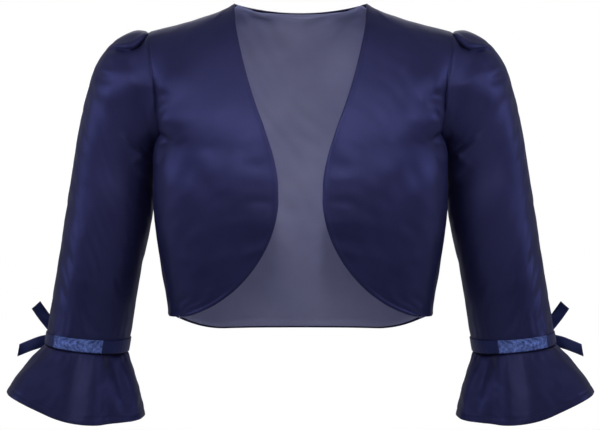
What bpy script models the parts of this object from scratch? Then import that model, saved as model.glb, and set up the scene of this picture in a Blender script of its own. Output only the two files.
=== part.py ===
"""Girl's bolero jacket in navy satin, filled out as it is worn.

The fronts are cut away in one round curve from neck to hem and nothing closes them. The long
sleeves have a box pleat in the head. A ribbon goes round each cuff, tied on the outer side, and a
flared flounce hangs below it.

The origin is midway between the two neck points, where the wearer's shoulders hold the jacket up.
The wearer faces -Y, so the wearer's left is +X.
"""

import math
from collections import namedtuple

import bmesh
import bpy
import numpy as np
from mathutils import Matrix, Vector

MM = 0.001

# Walls, and the clearance left at every seam
PANEL_WALL = 1.6 * MM
LINING_WALL = 1.0 * MM
FLOUNCE_WALL = 1.2 * MM
RIBBON_WALL = 1.0 * MM
SEAM_GAP = 0.3 * MM

# Neck and shoulders
NECK_HALF_WIDTH = 68.7 * MM
NECK_DEPTH = 60.0 * MM
NECK_DROP = 8.0 * MM
SHOULDER_HALF_WIDTH = 156.5 * MM
SHOULDER_DROP = 29.0 * MM
SHOULDER_BEND_OUT = (125.0 * MM, -21.6 * MM)
SHOULDER_BEND_IN = (82.0 * MM, -10.5 * MM)
SHOULDER_FULLNESS = 1.8
NECK_COLUMN = 0.68

# Body
ARMPIT_DROP = 141.0 * MM
TORSO_FULLNESS = 2.5
UNDERARM_TUCK = 6.0 * MM
UNDERARM_TUCK_LENGTH = 9.0 * MM
CHEST_DROP_FRONT = 148.0 * MM
CHEST_DROP_BACK = 150.0 * MM
SIDE_HEM_DROP = 322.0 * MM
BACK_HEM_DROP = 342.0 * MM
HEM_LEVELS_AT = 0.65

# Cut-away front edge: a gentle slope, then a wide round from the waist that meets the hem at a slant
CUTAWAY_START_X = 21.8 * MM
CUTAWAY_START_DROP = 200.7 * MM
CUTAWAY_END_X = 123.5 * MM
CUTAWAY_END_DROP = 320.2 * MM
CUTAWAY_FULLNESS = 1.8
CUTAWAY_ROUND = math.radians(83)
EDGE_PROFILE_FULLNESS = 1.6

# Armhole, a leaning ellipse that is also the first ring of the sleeve
ARMHOLE_FOOT_X = 143.0 * MM
ARMHOLE_HALF_DEPTH = 45.0 * MM

# Box pleat in the sleeve head: the lips spread from the seam and close again over the arm
PLEAT_LENGTH = 54.0 * MM
PLEAT_RECESS = 7.0 * MM
PLEAT_LIP_AT_SEAM = math.radians(11)
PLEAT_LIP_WIDEST = math.radians(40)
PLEAT_LIP_AT_END = math.radians(12)
PLEAT_WIDENS_OVER = 20.0 * MM
PLEAT_STEP = math.radians(4)
PLEAT_EASES_OVER = math.radians(45)

# Cuff
SLEEVE_LENGTH = 365.0 * MM
CUFF_TILT = math.radians(2.8)
RIBBON_WIDTH = 12.0 * MM
RIBBON_ABOVE_SEAM = 0.8 * MM
KNOT_ANGLE = math.radians(35)
KNOT_HALF_SIZE = (2.6 * MM, 4.5 * MM, 5.5 * MM)

# Flounce: its lower ring, wider on the outer side, lower at front and back
FLOUNCE_OUTER = (306.8 * MM, -404.4 * MM)
FLOUNCE_INNER = (162.3 * MM, -429.4 * MM)
FLOUNCE_HALF_DEPTH = 57.0 * MM
FLOUNCE_AXIS_Y = 32.0 * MM
FLOUNCE_DROOP = 15.5 * MM
FLOUNCE_EARLY_FLARE = 0.3

# Rows and columns of each wall's grid; the lining takes the back's, less the rows along its border
UPPER_ROWS = (0, 0.06, 0.14, 0.24, 0.34, 0.45, 0.56, 0.67, 0.78, 0.89, 1)
LOWER_ROWS = (0.12, 0.24, 0.35, 0.46, 0.57, 0.67, 0.76, 0.84, 0.91, 0.96)
HEM_ROW = 0.985
SEAM_COLUMNS = (0, 0.04, 0.11, 0.20, 0.30, 0.41, 0.53, 0.65, 0.77, 0.89, 1)
NECK_COLUMNS = (0.2, 0.4, 0.6, 0.8, 1)
SLEEVE_RINGS_MM = (0, 3, 8, 15, 23, 32, 42, 54, 68, 85, 104, 126, 150, 180, 212, 245, 280, 315, 345, 365)
SLEEVE_COLUMNS = (0, 0.05, 0.11, 0.16, 0.20, 0.28, 0.36, 0.44, 0.52, 0.60, 0.68, 0.76, 0.84, 0.92, 1)
LIP_COLUMN = 0.16
STEP_COLUMN = 0.20
FLOUNCE_ROWS = 6
FLOUNCE_COLUMNS = 40
RIBBON_END_STATIONS = 8

# Half sections of the torso, from the armpits down; every table's lengths are in millimetres
TorsoRow = namedtuple("TorsoRow", "drop half_width front_depth back_depth side_y")
TORSO = [
    TorsoRow(drop=141, half_width=149.0, front_depth=88, back_depth=89, side_y=0),
    TorsoRow(drop=176, half_width=151.6, front_depth=90, back_depth=90, side_y=-7),
    TorsoRow(drop=215, half_width=151.8, front_depth=90, back_depth=90, side_y=-8),
    TorsoRow(drop=250, half_width=147.2, front_depth=88, back_depth=88, side_y=-8),
    TorsoRow(drop=285, half_width=141.2, front_depth=86, back_depth=85, side_y=-7),
    TorsoRow(drop=322, half_width=136.0, front_depth=84, back_depth=83, side_y=-6),
    TorsoRow(drop=344, half_width=133.5, front_depth=83, back_depth=82, side_y=-6),
]

# How far the front edge stands from the centre, above the round
EdgeRow = namedtuple("EdgeRow", "drop x")
FRONT_EDGE = [
    EdgeRow(drop=0, x=68.7),
    EdgeRow(drop=23, x=66.2),
    EdgeRow(drop=54, x=59.6),
    EdgeRow(drop=95, x=47.9),
    EdgeRow(drop=130, x=35.3),
    EdgeRow(drop=158, x=26.6),
    EdgeRow(drop=178, x=22.8),
    EdgeRow(drop=200.7, x=21.8),
]

# Rings of the sleeve: the points over and under the arm, and the middle of the ring front to back
SleeveRow = namedtuple("SleeveRow", "along over_x over_z under_x under_z axis_y half_depth")
SLEEVE = [
    SleeveRow(along=0, over_x=156.5, over_z=-29.0, under_x=143.0, under_z=-141.0, axis_y=0, half_depth=45),
    SleeveRow(along=10, over_x=166.1, over_z=-27.3, under_x=144.8, under_z=-141.8, axis_y=1.5, half_depth=46),
    SleeveRow(along=35, over_x=188.6, over_z=-36.7, under_x=147.4, under_z=-143.8, axis_y=5, half_depth=46),
    SleeveRow(along=67, over_x=210.3, over_z=-60.6, under_x=148.8, under_z=-149.4, axis_y=11, half_depth=45.5),
    SleeveRow(along=104, over_x=222.6, over_z=-97.0, under_x=150.7, under_z=-160.0, axis_y=17, half_depth=45),
    SleeveRow(along=165, over_x=235.2, over_z=-156.4, under_x=151.9, under_z=-184.0, axis_y=23, half_depth=44),
    SleeveRow(along=218, over_x=243.5, over_z=-208.9, under_x=154.3, under_z=-220.0, axis_y=26, half_depth=43.5),
    SleeveRow(along=272, over_x=252.0, over_z=-261.8, under_x=164.8, under_z=-268.6, axis_y=27.5, half_depth=43),
    SleeveRow(along=325, over_x=260.6, over_z=-314.0, under_x=173.2, under_z=-317.2, axis_y=29, half_depth=43),
    SleeveRow(along=365, over_x=267.1, over_z=-354.1, under_x=180.9, under_z=-362.4, axis_y=30.5, half_depth=43),
]

# Waves round the flounce: each is a soft valley or ridge at its own place
WaveRow = namedtuple("WaveRow", "turn height width")
FLOUNCE_WAVES = [
    WaveRow(turn=0.05, height=2.0, width=0.050),
    WaveRow(turn=0.17, height=-2.6, width=0.045),
    WaveRow(turn=0.27, height=2.4, width=0.050),
    WaveRow(turn=0.375, height=-4.2, width=0.035),
    WaveRow(turn=0.44, height=2.6, width=0.035),
    WaveRow(turn=0.56, height=-2.6, width=0.040),
    WaveRow(turn=0.66, height=2.8, width=0.045),
    WaveRow(turn=0.77, height=-3.0, width=0.045),
    WaveRow(turn=0.88, height=2.4, width=0.050),
]

# Middle line of each free ribbon end on the left cuff, from the knot to the cut
StripRow = namedtuple("StripRow", "along x y z half_width")
RIBBON_ENDS = {
    "upper": [
        StripRow(along=0.0, x=263.2, y=58.3, z=-341.7, half_width=4.2),
        StripRow(along=0.3, x=266.2, y=60.5, z=-336.0, half_width=5.8),
        StripRow(along=0.65, x=273.0, y=60.0, z=-326.5, half_width=6.1),
        StripRow(along=1.0, x=279.8, y=57.5, z=-316.2, half_width=6.1),
    ],
    "lower": [
        StripRow(along=0.0, x=263.7, y=58.4, z=-351.15, half_width=4.4),
        StripRow(along=0.3, x=274.6, y=61.5, z=-355.2, half_width=6.0),
        StripRow(along=0.65, x=286.3, y=61.5, z=-359.4, half_width=5.8),
        StripRow(along=1.0, x=298.9, y=60.0, z=-364.4, half_width=5.7),
    ],
}
RIBBON_CUT_SLANT = {"upper": 1.0 * MM, "lower": -3.5 * MM}

# Base colour, roughness and metallic value of each cloth
Cloth = namedtuple("Cloth", "name color roughness")
SATIN = Cloth("navy_satin", (0.020, 0.022, 0.075, 1.0), 0.38)
LINING = Cloth("slate_lining", (0.095, 0.100, 0.170, 1.0), 0.70)
RIBBON = Cloth("blue_ribbon", (0.055, 0.095, 0.340, 1.0), 0.30)


def column(table, field, station_field, at):
    """Value of one column at any station, on a smooth curve through the table's rows."""
    stations = np.array([getattr(row, station_field) for row in table], float)
    values = np.array([getattr(row, field) for row in table], float)
    slopes = np.gradient(values, stations)
    place = np.clip(np.searchsorted(stations, at, side="right") - 1, 0, len(stations) - 2)
    span = stations[place + 1] - stations[place]
    part = (at - stations[place]) / span
    start = values[place] * (1 + 2 * part) + slopes[place] * span * part
    end = values[place + 1] * (3 - 2 * part) - slopes[place + 1] * span * (1 - part)
    return start * (1 - part) ** 2 + end * part ** 2


def length(table, field, at, station_field="drop"):
    """One column of a table of lengths, in metres, at a station that is in metres too."""
    return column(table, field, station_field, np.asarray(at) / MM) * MM


def quarter(angle, fullness):
    """Cosine and sine of a quarter turn, raised to bulge further out than a circle when over 2."""
    share = 2.0 / fullness
    across = np.clip(np.cos(angle), 0.0, 1.0) ** share
    out = np.clip(np.sin(angle), 0.0, 1.0) ** share
    return across, out


def bezier(t, *corners):
    """Point at t on a cubic curve with four control points."""
    first, second, third, fourth = (np.array(corner, float) for corner in corners)
    t = np.asarray(t, float)[..., None]
    s = 1.0 - t
    return s ** 3 * first + 3 * s ** 2 * t * second + 3 * s * t ** 2 * third + t ** 3 * fourth


def stack(x, y, z):
    """One array of points from three arrays of coordinates."""
    return np.stack(np.broadcast_arrays(x, y, z), axis=-1)


def torso_section(turn, drop, facing):
    """Point on the torso: turn 0 is the side seam and 1 the centre; facing -1 is front, 1 back."""
    across, out = quarter(np.asarray(turn) * math.pi / 2, TORSO_FULLNESS)
    depth_field = "front_depth" if facing < 0 else "back_depth"
    depth = length(TORSO, depth_field, drop)
    side_y = length(TORSO, "side_y", drop)
    from_armpit = (np.asarray(drop) - ARMPIT_DROP) / UNDERARM_TUCK_LENGTH
    tuck = UNDERARM_TUCK * np.exp(-(np.asarray(turn) / 0.12) ** 2 - from_armpit ** 2)
    x = length(TORSO, "half_width", drop) * across - tuck
    y = side_y + (facing * depth - side_y) * out
    return stack(x, y, -np.asarray(drop))


def torso_turn(x, drop):
    """How far round the torso, from side to centre, a point lies that is x from the centre."""
    share = np.clip(x / length(TORSO, "half_width", drop), 0.0, 1.0)
    return np.arccos(share ** (TORSO_FULLNESS / 2)) * 2 / math.pi


def shoulder_seam(t):
    """Point on the shoulder seam: t 0 is the shoulder point and 1 the neck point."""
    x_z = bezier(
        t,
        (SHOULDER_HALF_WIDTH, -SHOULDER_DROP),
        SHOULDER_BEND_OUT,
        SHOULDER_BEND_IN,
        (NECK_HALF_WIDTH, 0.0),
    )
    return stack(x_z[..., 0], np.zeros_like(x_z[..., 0]), x_z[..., 1])


def armhole(angle):
    """Point on the armhole: angle 0 is the shoulder point, a quarter turn the front, a half the armpit."""
    lean = (SHOULDER_HALF_WIDTH - ARMHOLE_FOOT_X) / 2
    half_height = (ARMPIT_DROP - SHOULDER_DROP) / 2
    x = (SHOULDER_HALF_WIDTH + ARMHOLE_FOOT_X) / 2 + lean * np.cos(angle)
    y = -ARMHOLE_HALF_DEPTH * np.sin(angle)
    z = -(SHOULDER_DROP + ARMPIT_DROP) / 2 + half_height * np.cos(angle)
    return stack(x, y, z)


def front_edge(v):
    """Point on the cut-away edge: v 0 is the neck point, 1 level with the armpits, 2 the hem."""
    angle = np.clip(v, 0, 1) * math.pi / 2
    across, out = quarter(angle, EDGE_PROFILE_FULLNESS)
    upper_drop = CHEST_DROP_FRONT * (1 - across)
    straight = CUTAWAY_START_DROP - CHEST_DROP_FRONT
    round_length = math.hypot(CUTAWAY_END_X - CUTAWAY_START_X, CUTAWAY_END_DROP - CUTAWAY_START_DROP) * 1.1
    straight_share = straight / (straight + round_length)
    below = np.clip(np.asarray(v) - 1, 0, 1)
    in_round = np.clip((below - straight_share) / (1 - straight_share), 0, 1)
    round_across, round_down = quarter(in_round * CUTAWAY_ROUND, CUTAWAY_FULLNESS)
    end_across, end_down = quarter(CUTAWAY_ROUND, CUTAWAY_FULLNESS)
    slope_drop = CHEST_DROP_FRONT + straight * np.clip(below / straight_share, 0, 1)
    fallen = round_down / end_down
    still_forward = (round_across - end_across) / (1 - end_across)
    round_drop = CUTAWAY_START_DROP + (CUTAWAY_END_DROP - CUTAWAY_START_DROP) * fallen
    drop = np.where(v <= 1, upper_drop, np.where(in_round > 0, round_drop, slope_drop))
    round_x = CUTAWAY_END_X - (CUTAWAY_END_X - CUTAWAY_START_X) * still_forward
    x = np.where(in_round > 0, round_x, length(FRONT_EDGE, "x", np.minimum(drop, CUTAWAY_START_DROP)))
    low_drop = np.maximum(drop, CHEST_DROP_FRONT)
    on_torso = torso_section(torso_turn(x, low_drop), low_drop, -1)
    roof = np.where(np.asarray(v) <= 1, out, 1.0)
    return stack(x, on_torso[..., 1] * roof, -drop)


def shoulder_to_chest(u, v, top, chest, side_line, centre_line, settle):
    """Upper part of a panel, which rolls over the shoulder from its top edge to the chest level.

    Each column falls along a rounded profile, then leans to the armhole on one side and to the
    front edge or the centre of the back on the other, so that the panel ends on both exactly.
    """
    across, out = quarter(v * math.pi / 2, SHOULDER_FULLNESS)
    profile = stack(1 - across, out, 1 - across)
    middle = top + (chest - top) * profile
    side_base = top[..., :1, :] + (chest[..., :1, :] - top[..., :1, :]) * profile[..., :1, :]
    end_base = top[..., -1:, :] + (chest[..., -1:, :] - top[..., -1:, :]) * profile[..., -1:, :]
    side_share = ((1 - u) ** 1.3)[..., None]
    end_share = (u ** settle)[..., None]
    return middle + (side_line - side_base) * side_share + (centre_line - end_base) * end_share


def with_ends(u):
    """The columns with both borders added, from which a panel's rows take their lean."""
    return np.concatenate([[0.0], u, [1.0]])


def front_surface(u, v):
    """Front panel: u 0 is the armhole and side seam, 1 the front edge; v 0 shoulder, 1 chest, 2 hem."""
    columns = with_ends(u)[None, :]
    rows = v[:, None]
    high = np.minimum(rows, 1.0)
    chest_edge = front_edge(np.array(1.0))
    chest_turn = torso_turn(chest_edge[0], CHEST_DROP_FRONT)
    chest_drop = ARMPIT_DROP + (CHEST_DROP_FRONT - ARMPIT_DROP) * columns
    chest = torso_section(columns * chest_turn, chest_drop, -1)
    upper = shoulder_to_chest(
        columns, high, shoulder_seam(columns), chest, armhole(high * math.pi), front_edge(high), 1.0
    )
    edge = front_edge(np.maximum(rows, 1.0))
    side_drop = ARMPIT_DROP + (SIDE_HEM_DROP - ARMPIT_DROP) * np.clip(rows - 1, 0, 1)
    drop = side_drop + (-edge[..., 2] - side_drop) * columns
    lower = torso_section(columns * torso_turn(edge[..., 0], -edge[..., 2]), drop, -1)
    panel = np.where((rows <= 1)[..., None], upper, lower)[:, 1:-1]
    return panel + np.array([0.0, -SEAM_GAP / 2, 0.0])


def back_top(u, v):
    """Top border of the back: the shoulder seam, then the neck curve, eased into one sweep below it."""
    seam = shoulder_seam(np.minimum(u / NECK_COLUMN, 1.0))
    swing = np.clip((u - NECK_COLUMN) / (1 - NECK_COLUMN), 0, 1) * math.pi / 2
    neck = stack(
        NECK_HALF_WIDTH * np.cos(swing),
        NECK_DEPTH * np.sin(swing),
        -NECK_DROP * np.sin(swing) ** 2,
    )
    cut = np.where((u <= NECK_COLUMN)[..., None], seam, neck)
    sweep = bezier(
        u,
        (SHOULDER_HALF_WIDTH, 0.0, -SHOULDER_DROP),
        (115 * MM, 0.0, -17 * MM),
        (75 * MM, 52 * MM, 2 * MM),
        (0.0, NECK_DEPTH, -NECK_DROP),
    )
    ease = np.exp(-(v / 0.12) ** 2)[..., None]
    return sweep + (cut - sweep) * ease


def back_surface(u, v):
    """Half of the back: u 0 is the armhole and side seam, 1 the centre; v 0 top, 1 chest, 2 hem."""
    columns = with_ends(u)[None, :]
    rows = v[:, None]
    high = np.minimum(rows, 1.0)
    reach = np.clip(columns / HEM_LEVELS_AT, 0, 1)
    ease = reach ** 2 * (3 - 2 * reach)
    chest_drop = ARMPIT_DROP + (CHEST_DROP_BACK - ARMPIT_DROP) * ease
    chest = torso_section(columns, chest_drop, 1)
    centre = stack(
        0.0 * high,
        NECK_DEPTH + (chest[..., -1:, 1] - NECK_DEPTH) * (1 - (1 - high) ** 1.5),
        -NECK_DROP - (CHEST_DROP_BACK - NECK_DROP) * (0.35 * high + 0.65 * high ** 2),
    )
    upper = shoulder_to_chest(
        columns, high, back_top(columns, high), chest, armhole(-high * math.pi), centre, 3.0
    )
    below = np.clip(rows - 1, 0, 1)
    side_drop = ARMPIT_DROP + (SIDE_HEM_DROP - ARMPIT_DROP) * below
    centre_drop = CHEST_DROP_BACK + (BACK_HEM_DROP - CHEST_DROP_BACK) * below
    lower = torso_section(columns, side_drop + (centre_drop - side_drop) * ease, 1)
    panel = np.where((rows <= 1)[..., None], upper, lower)[:, 1:-1]
    return panel + np.array([0.0, SEAM_GAP / 2, 0.0])


def pleat_lip(along):
    """Angle from the top of the arm at which the box pleat's folded lip lies."""
    widened = np.clip(along / PLEAT_WIDENS_OVER, 0, 1)
    closed = np.clip((along - PLEAT_WIDENS_OVER) / (PLEAT_LENGTH - PLEAT_WIDENS_OVER), 0, 1)
    opening = (PLEAT_LIP_WIDEST - PLEAT_LIP_AT_SEAM) * widened * (2 - widened)
    closing = (PLEAT_LIP_WIDEST - PLEAT_LIP_AT_END) * closed**2 * (3 - 2 * closed)
    return PLEAT_LIP_AT_SEAM + opening - closing


def sleeve_point(angle, along):
    """Point on the left sleeve: angle 0 is over the arm and a quarter turn in front; along is from the seam."""
    over_x = length(SLEEVE, "over_x", along, "along")
    over_z = length(SLEEVE, "over_z", along, "along")
    under_x = length(SLEEVE, "under_x", along, "along")
    under_z = length(SLEEVE, "under_z", along, "along")
    axis_y = length(SLEEVE, "axis_y", along, "along")
    half_depth = length(SLEEVE, "half_depth", along, "along")
    tilt = CUFF_TILT * along / SLEEVE_LENGTH
    past_lip = np.abs(angle) - pleat_lip(along)
    strength = np.sin(math.pi * np.clip(along / PLEAT_LENGTH, 0, 1)) ** 2
    fall = np.clip(past_lip / PLEAT_STEP, 0, 1)
    rise = np.cos(math.pi / 2 * np.clip((past_lip - PLEAT_STEP) / PLEAT_EASES_OVER, 0, 1))
    size = 1 - PLEAT_RECESS * strength * fall * rise / half_depth
    up = np.cos(angle) * size
    front = np.sin(angle) * size
    x = (over_x + under_x) / 2 + (over_x - under_x) / 2 * up
    y = axis_y - half_depth * front * np.cos(tilt)
    z = (over_z + under_z) / 2 + (over_z - under_z) / 2 * up - half_depth * front * np.sin(tilt)
    return stack(x + SEAM_GAP, y, z)


def sleeve_surface(u, v):
    """Sleeve with a column on each side of the pleat's lip: u goes once round, v is metres from the seam."""
    along = v[:, None]
    lip = pleat_lip(along)
    signed = (u[None, :] + 0.5) % 1.0 - 0.5
    way = np.abs(signed) * 2
    inside = way / LIP_COLUMN * lip
    step = lip + (way - LIP_COLUMN) / (STEP_COLUMN - LIP_COLUMN) * PLEAT_STEP
    rest = math.pi - lip - PLEAT_STEP
    beyond = lip + PLEAT_STEP + (way - STEP_COLUMN) / (1 - STEP_COLUMN) * rest
    angle = np.where(way <= LIP_COLUMN, inside, np.where(way <= STEP_COLUMN, step, beyond))
    return sleeve_point(np.sign(signed) * angle, along)


def cuff_surface(u, v):
    """Lower sleeve with even columns: u goes once round from the outer side, v is metres from the seam."""
    return sleeve_point(u[None, :] * 2 * math.pi, v[:, None])


def wave_height(turn):
    """Sum of the flounce's waves, outwards, at a place round its hem."""
    height = np.zeros_like(turn)
    for wave in FLOUNCE_WAVES:
        apart = (turn - wave.turn + 0.5) % 1.0 - 0.5
        height = height + wave.height * MM * np.exp(-(apart / wave.width) ** 2)
    return height


def flounce_surface(u, v):
    """Flounce of the left cuff: u goes once round from the outer side, v from its seam to its hem."""
    down = v[:, None]
    angle = u[None, :] * 2 * math.pi
    seam = cuff_surface(u, np.array([SLEEVE_LENGTH])) - np.array([0.0, 0.0, SEAM_GAP])
    middle = (np.array(FLOUNCE_OUTER) + np.array(FLOUNCE_INNER)) / 2
    half = (np.array(FLOUNCE_OUTER) - np.array(FLOUNCE_INNER)) / 2
    swell = 1 + wave_height(u[None, :]) / FLOUNCE_HALF_DEPTH
    droop = FLOUNCE_DROOP * np.sin(angle) ** 2
    hem = stack(
        middle[0] + half[0] * np.cos(angle) * swell,
        FLOUNCE_AXIS_Y - FLOUNCE_HALF_DEPTH * np.sin(angle) * swell,
        middle[1] + half[1] * np.cos(angle) - droop,
    )
    spread = down * (1 + FLOUNCE_EARLY_FLARE * (1 - down))
    return seam + (hem - seam) * stack(spread, spread, down)


def outward_normals(surface, u, v, wraps, facing):
    """Unit normals of a surface on a grid, from small steps along both of its directions."""
    step = 1e-4
    along_v = surface(u, np.minimum(v + step, v.max())) - surface(u, np.maximum(v - step, v.min()))
    ahead, behind = u + step, u - step
    if not wraps:
        ahead, behind = np.minimum(ahead, 1), np.maximum(behind, 0)
    along_u = surface(ahead, v) - surface(behind, v)
    normal = np.cross(along_u, along_v) * facing
    return normal / np.linalg.norm(normal, axis=-1, keepdims=True)


def wall_grids(surface, u, v, start, thickness, wraps=False, facing=1):
    """Outer and inner grids of a wall whose outer face lies a distance start inside the surface."""
    points = surface(u, v)
    normal = outward_normals(surface, u, v, wraps, facing)
    return points - normal * start, points - normal * (start + thickness)


def make_material(cloth):
    """Plain material with the cloth's colour and roughness."""
    material = bpy.data.materials.new(cloth.name)
    material.use_nodes = True
    shader = material.node_tree.nodes["Principled BSDF"]
    shader.inputs["Base Color"].default_value = cloth.color
    shader.inputs["Roughness"].default_value = cloth.roughness
    shader.inputs["Metallic"].default_value = 0.0
    material.diffuse_color = cloth.color
    return material


def add_object(name, shape, material):
    """Object of that name in the scene, from a finished bmesh."""
    bmesh.ops.recalc_face_normals(shape, faces=shape.faces)
    mesh = bpy.data.meshes.new(name)
    shape.to_mesh(mesh)
    shape.free()
    mesh.materials.append(material)
    made = bpy.data.objects.new(name, mesh)
    bpy.context.scene.collection.objects.link(made)
    return made


def add_skin(shape, grid, wraps):
    """One face of a wall as triangles, all split the same way; returns its vertices row by row."""
    skin = [[shape.verts.new(point) for point in row] for row in grid]
    columns = len(skin[0])
    for upper, lower in zip(skin[:-1], skin[1:]):
        for place in range(columns if wraps else columns - 1):
            after = (place + 1) % columns
            shape.faces.new((upper[place], upper[after], lower[after])).smooth = True
            shape.faces.new((upper[place], lower[after], lower[place])).smooth = True
    return skin


def add_rim(shape, outer_border, inner_border):
    """Strip of triangles that joins the two faces of a wall along one border."""
    pairs = list(zip(outer_border, inner_border))
    for (outer, inner), (outer_next, inner_next) in zip(pairs[:-1], pairs[1:]):
        shape.faces.new((outer, outer_next, inner_next))
        shape.faces.new((outer, inner_next, inner))


def build_wall(name, grids, wraps, material):
    """Closed wall between its outer and inner grids of points."""
    shape = bmesh.new()
    outer, inner = (add_skin(shape, grid, wraps) for grid in grids)
    for row in (0, -1):
        outer_border = outer[row] + outer[row][:1] if wraps else outer[row]
        inner_border = inner[row] + inner[row][:1] if wraps else inner[row]
        add_rim(shape, outer_border, inner_border)
    if not wraps:
        for place in (0, -1):
            add_rim(shape, [row[place] for row in outer], [row[place] for row in inner])
    return add_object(name, shape, material)


def mirrored(grid):
    """The same grid on the other side of the body."""
    return grid * np.array([-1.0, 1.0, 1.0])


def build_pair(name, grids, wraps, material):
    """A left wall and its mirror image on the right."""
    build_wall(f"{name}_left", grids, wraps, material)
    build_wall(f"{name}_right", [mirrored(grid) for grid in grids], wraps, material)


def whole_back(grid):
    """Both halves of a grid that ends at the centre back, as one grid."""
    half = grid.copy()
    half[:, -1, 0] = 0.0
    return np.concatenate([half, mirrored(half)[:, -2::-1]], axis=1)


def panel_rows(*above_hem):
    """Rows of a panel: the upper part, the lower part, any rows just above the hem, and the hem."""
    return np.concatenate([UPPER_ROWS, 1 + np.array(LOWER_ROWS), above_hem, [2.0]])


def build_fronts(satin):
    """Both front panels."""
    u = np.array(SEAM_COLUMNS, float)
    build_pair("front", wall_grids(front_surface, u, panel_rows(), 0.0, PANEL_WALL), False, satin)


def build_back(satin, lining):
    """The back in one piece, and the lining that shows inside it, from the same rows and columns."""
    under_neck = NECK_COLUMN + (1 - NECK_COLUMN) * np.array(NECK_COLUMNS, float)
    u = np.concatenate([np.array(SEAM_COLUMNS, float) * NECK_COLUMN, under_neck])
    v = panel_rows(1 + HEM_ROW)
    panel = wall_grids(back_surface, u, v, 0.0, PANEL_WALL, facing=-1)
    build_wall("back", [whole_back(grid) for grid in panel], False, satin)
    inside = wall_grids(back_surface, u, v, PANEL_WALL + SEAM_GAP, LINING_WALL, facing=-1)
    build_wall("back_lining", [whole_back(grid)[1:-1, 1:-1] for grid in inside], False, lining)


def sleeve_columns():
    """Places once round the sleeve, the same on the front and the back of the arm."""
    half = np.array(SLEEVE_COLUMNS, float) / 2
    return np.concatenate([half, 1 - half[-2:0:-1]])


def build_sleeves(satin):
    """Both sleeves, each in one piece from the armhole to the flounce's seam."""
    rings = np.array(SLEEVE_RINGS_MM, float) * MM
    grids = wall_grids(sleeve_surface, sleeve_columns(), rings, 0.0, PANEL_WALL, wraps=True)
    build_pair("sleeve", grids, True, satin)


def build_flounces(satin):
    """Both flounces, hanging from the ends of the sleeves."""
    u = np.arange(FLOUNCE_COLUMNS) / FLOUNCE_COLUMNS
    v = np.linspace(0, 1, FLOUNCE_ROWS)
    build_pair("cuff_flounce", wall_grids(flounce_surface, u, v, 0.0, FLOUNCE_WALL, wraps=True), True, satin)


def build_ribbon_bands(ribbon):
    """The ribbon round each cuff, laid on the sleeve's own points."""
    foot = SLEEVE_LENGTH - RIBBON_ABOVE_SEAM
    v = np.array([foot - RIBBON_WIDTH, foot - RIBBON_WIDTH / 2, foot])
    start = -(SEAM_GAP + RIBBON_WALL)
    grids = wall_grids(sleeve_surface, sleeve_columns(), v, start, RIBBON_WALL, wraps=True)
    build_pair("cuff_ribbon", grids, True, ribbon)


def build_knots(ribbon):
    """The small round knot on the outer back of each ribbon band."""
    u = np.array([-KNOT_ANGLE / (2 * math.pi)])
    v = SLEEVE_LENGTH - RIBBON_ABOVE_SEAM - RIBBON_WIDTH * np.array([1.0, 0.5, 0.0])
    normal = Vector(outward_normals(cuff_surface, u, v, True, 1)[1, 0])
    out = 2 * SEAM_GAP + RIBBON_WALL + KNOT_HALF_SIZE[0]
    centre = Vector(cuff_surface(u, v)[1, 0]) + normal * out
    turn = normal.to_track_quat("X", "Z").to_matrix().to_4x4()
    size = Matrix.Diagonal((*KNOT_HALF_SIZE, 1.0))
    for side, flip in (("left", 1.0), ("right", -1.0)):
        shape = bmesh.new()
        place = Matrix.Diagonal((flip, 1.0, 1.0, 1.0)) @ Matrix.Translation(centre) @ turn @ size
        bmesh.ops.create_uvsphere(shape, u_segments=12, v_segments=8, radius=1.0, matrix=place)
        for face in shape.faces:
            face.smooth = True
        add_object(f"ribbon_knot_{side}", shape, ribbon)


def ribbon_end_grids(table, slant):
    """Front and rear faces of a free ribbon end, whose width lies across its middle line."""
    at = np.linspace(0, 1, RIBBON_END_STATIONS)
    line = stack(*(column(table, field, "along", at) * MM for field in "xyz"))
    half_width = column(table, "half_width", "along", at) * MM
    heading = np.gradient(line, at, axis=0)
    heading = heading / np.linalg.norm(heading, axis=-1, keepdims=True)
    across = np.cross(heading, np.array([0.0, 1.0, 0.0]))
    across = across / np.linalg.norm(across, axis=-1, keepdims=True)
    share = np.array([-1.0, 0.0, 1.0])[None, :, None]
    slanted = heading * slant * (at ** 6)[:, None]
    face = line[:, None] + (across * half_width[:, None] + slanted)[:, None] * share
    normal = np.cross(across, heading)
    normal = normal / np.linalg.norm(normal, axis=-1, keepdims=True)
    return face, face + normal[:, None] * RIBBON_WALL


def build_ribbon_ends(ribbon):
    """The two free ends of each ribbon."""
    for name, table in RIBBON_ENDS.items():
        grids = ribbon_end_grids(table, RIBBON_CUT_SLANT[name])
        build_pair(f"ribbon_end_{name}", grids, False, ribbon)


def main():
    """Remove what the file holds, then build every piece of the jacket."""
    for old in list(bpy.data.objects):
        bpy.data.objects.remove(old, do_unlink=True)
    satin = make_material(SATIN)
    lining = make_material(LINING)
    ribbon = make_material(RIBBON)
    build_fronts(satin)
    build_back(satin, lining)
    build_sleeves(satin)
    build_flounces(satin)
    build_ribbon_bands(ribbon)
    build_knots(ribbon)
    build_ribbon_ends(ribbon)


main()
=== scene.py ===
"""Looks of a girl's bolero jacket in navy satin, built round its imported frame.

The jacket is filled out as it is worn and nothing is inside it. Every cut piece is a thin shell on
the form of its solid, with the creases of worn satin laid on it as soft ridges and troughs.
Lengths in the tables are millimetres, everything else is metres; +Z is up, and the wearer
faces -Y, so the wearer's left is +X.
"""

import logging
import math
from dataclasses import dataclass, field
from enum import Enum
from typing import Any, Callable, Mapping, NamedTuple, Optional, Sequence

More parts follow.
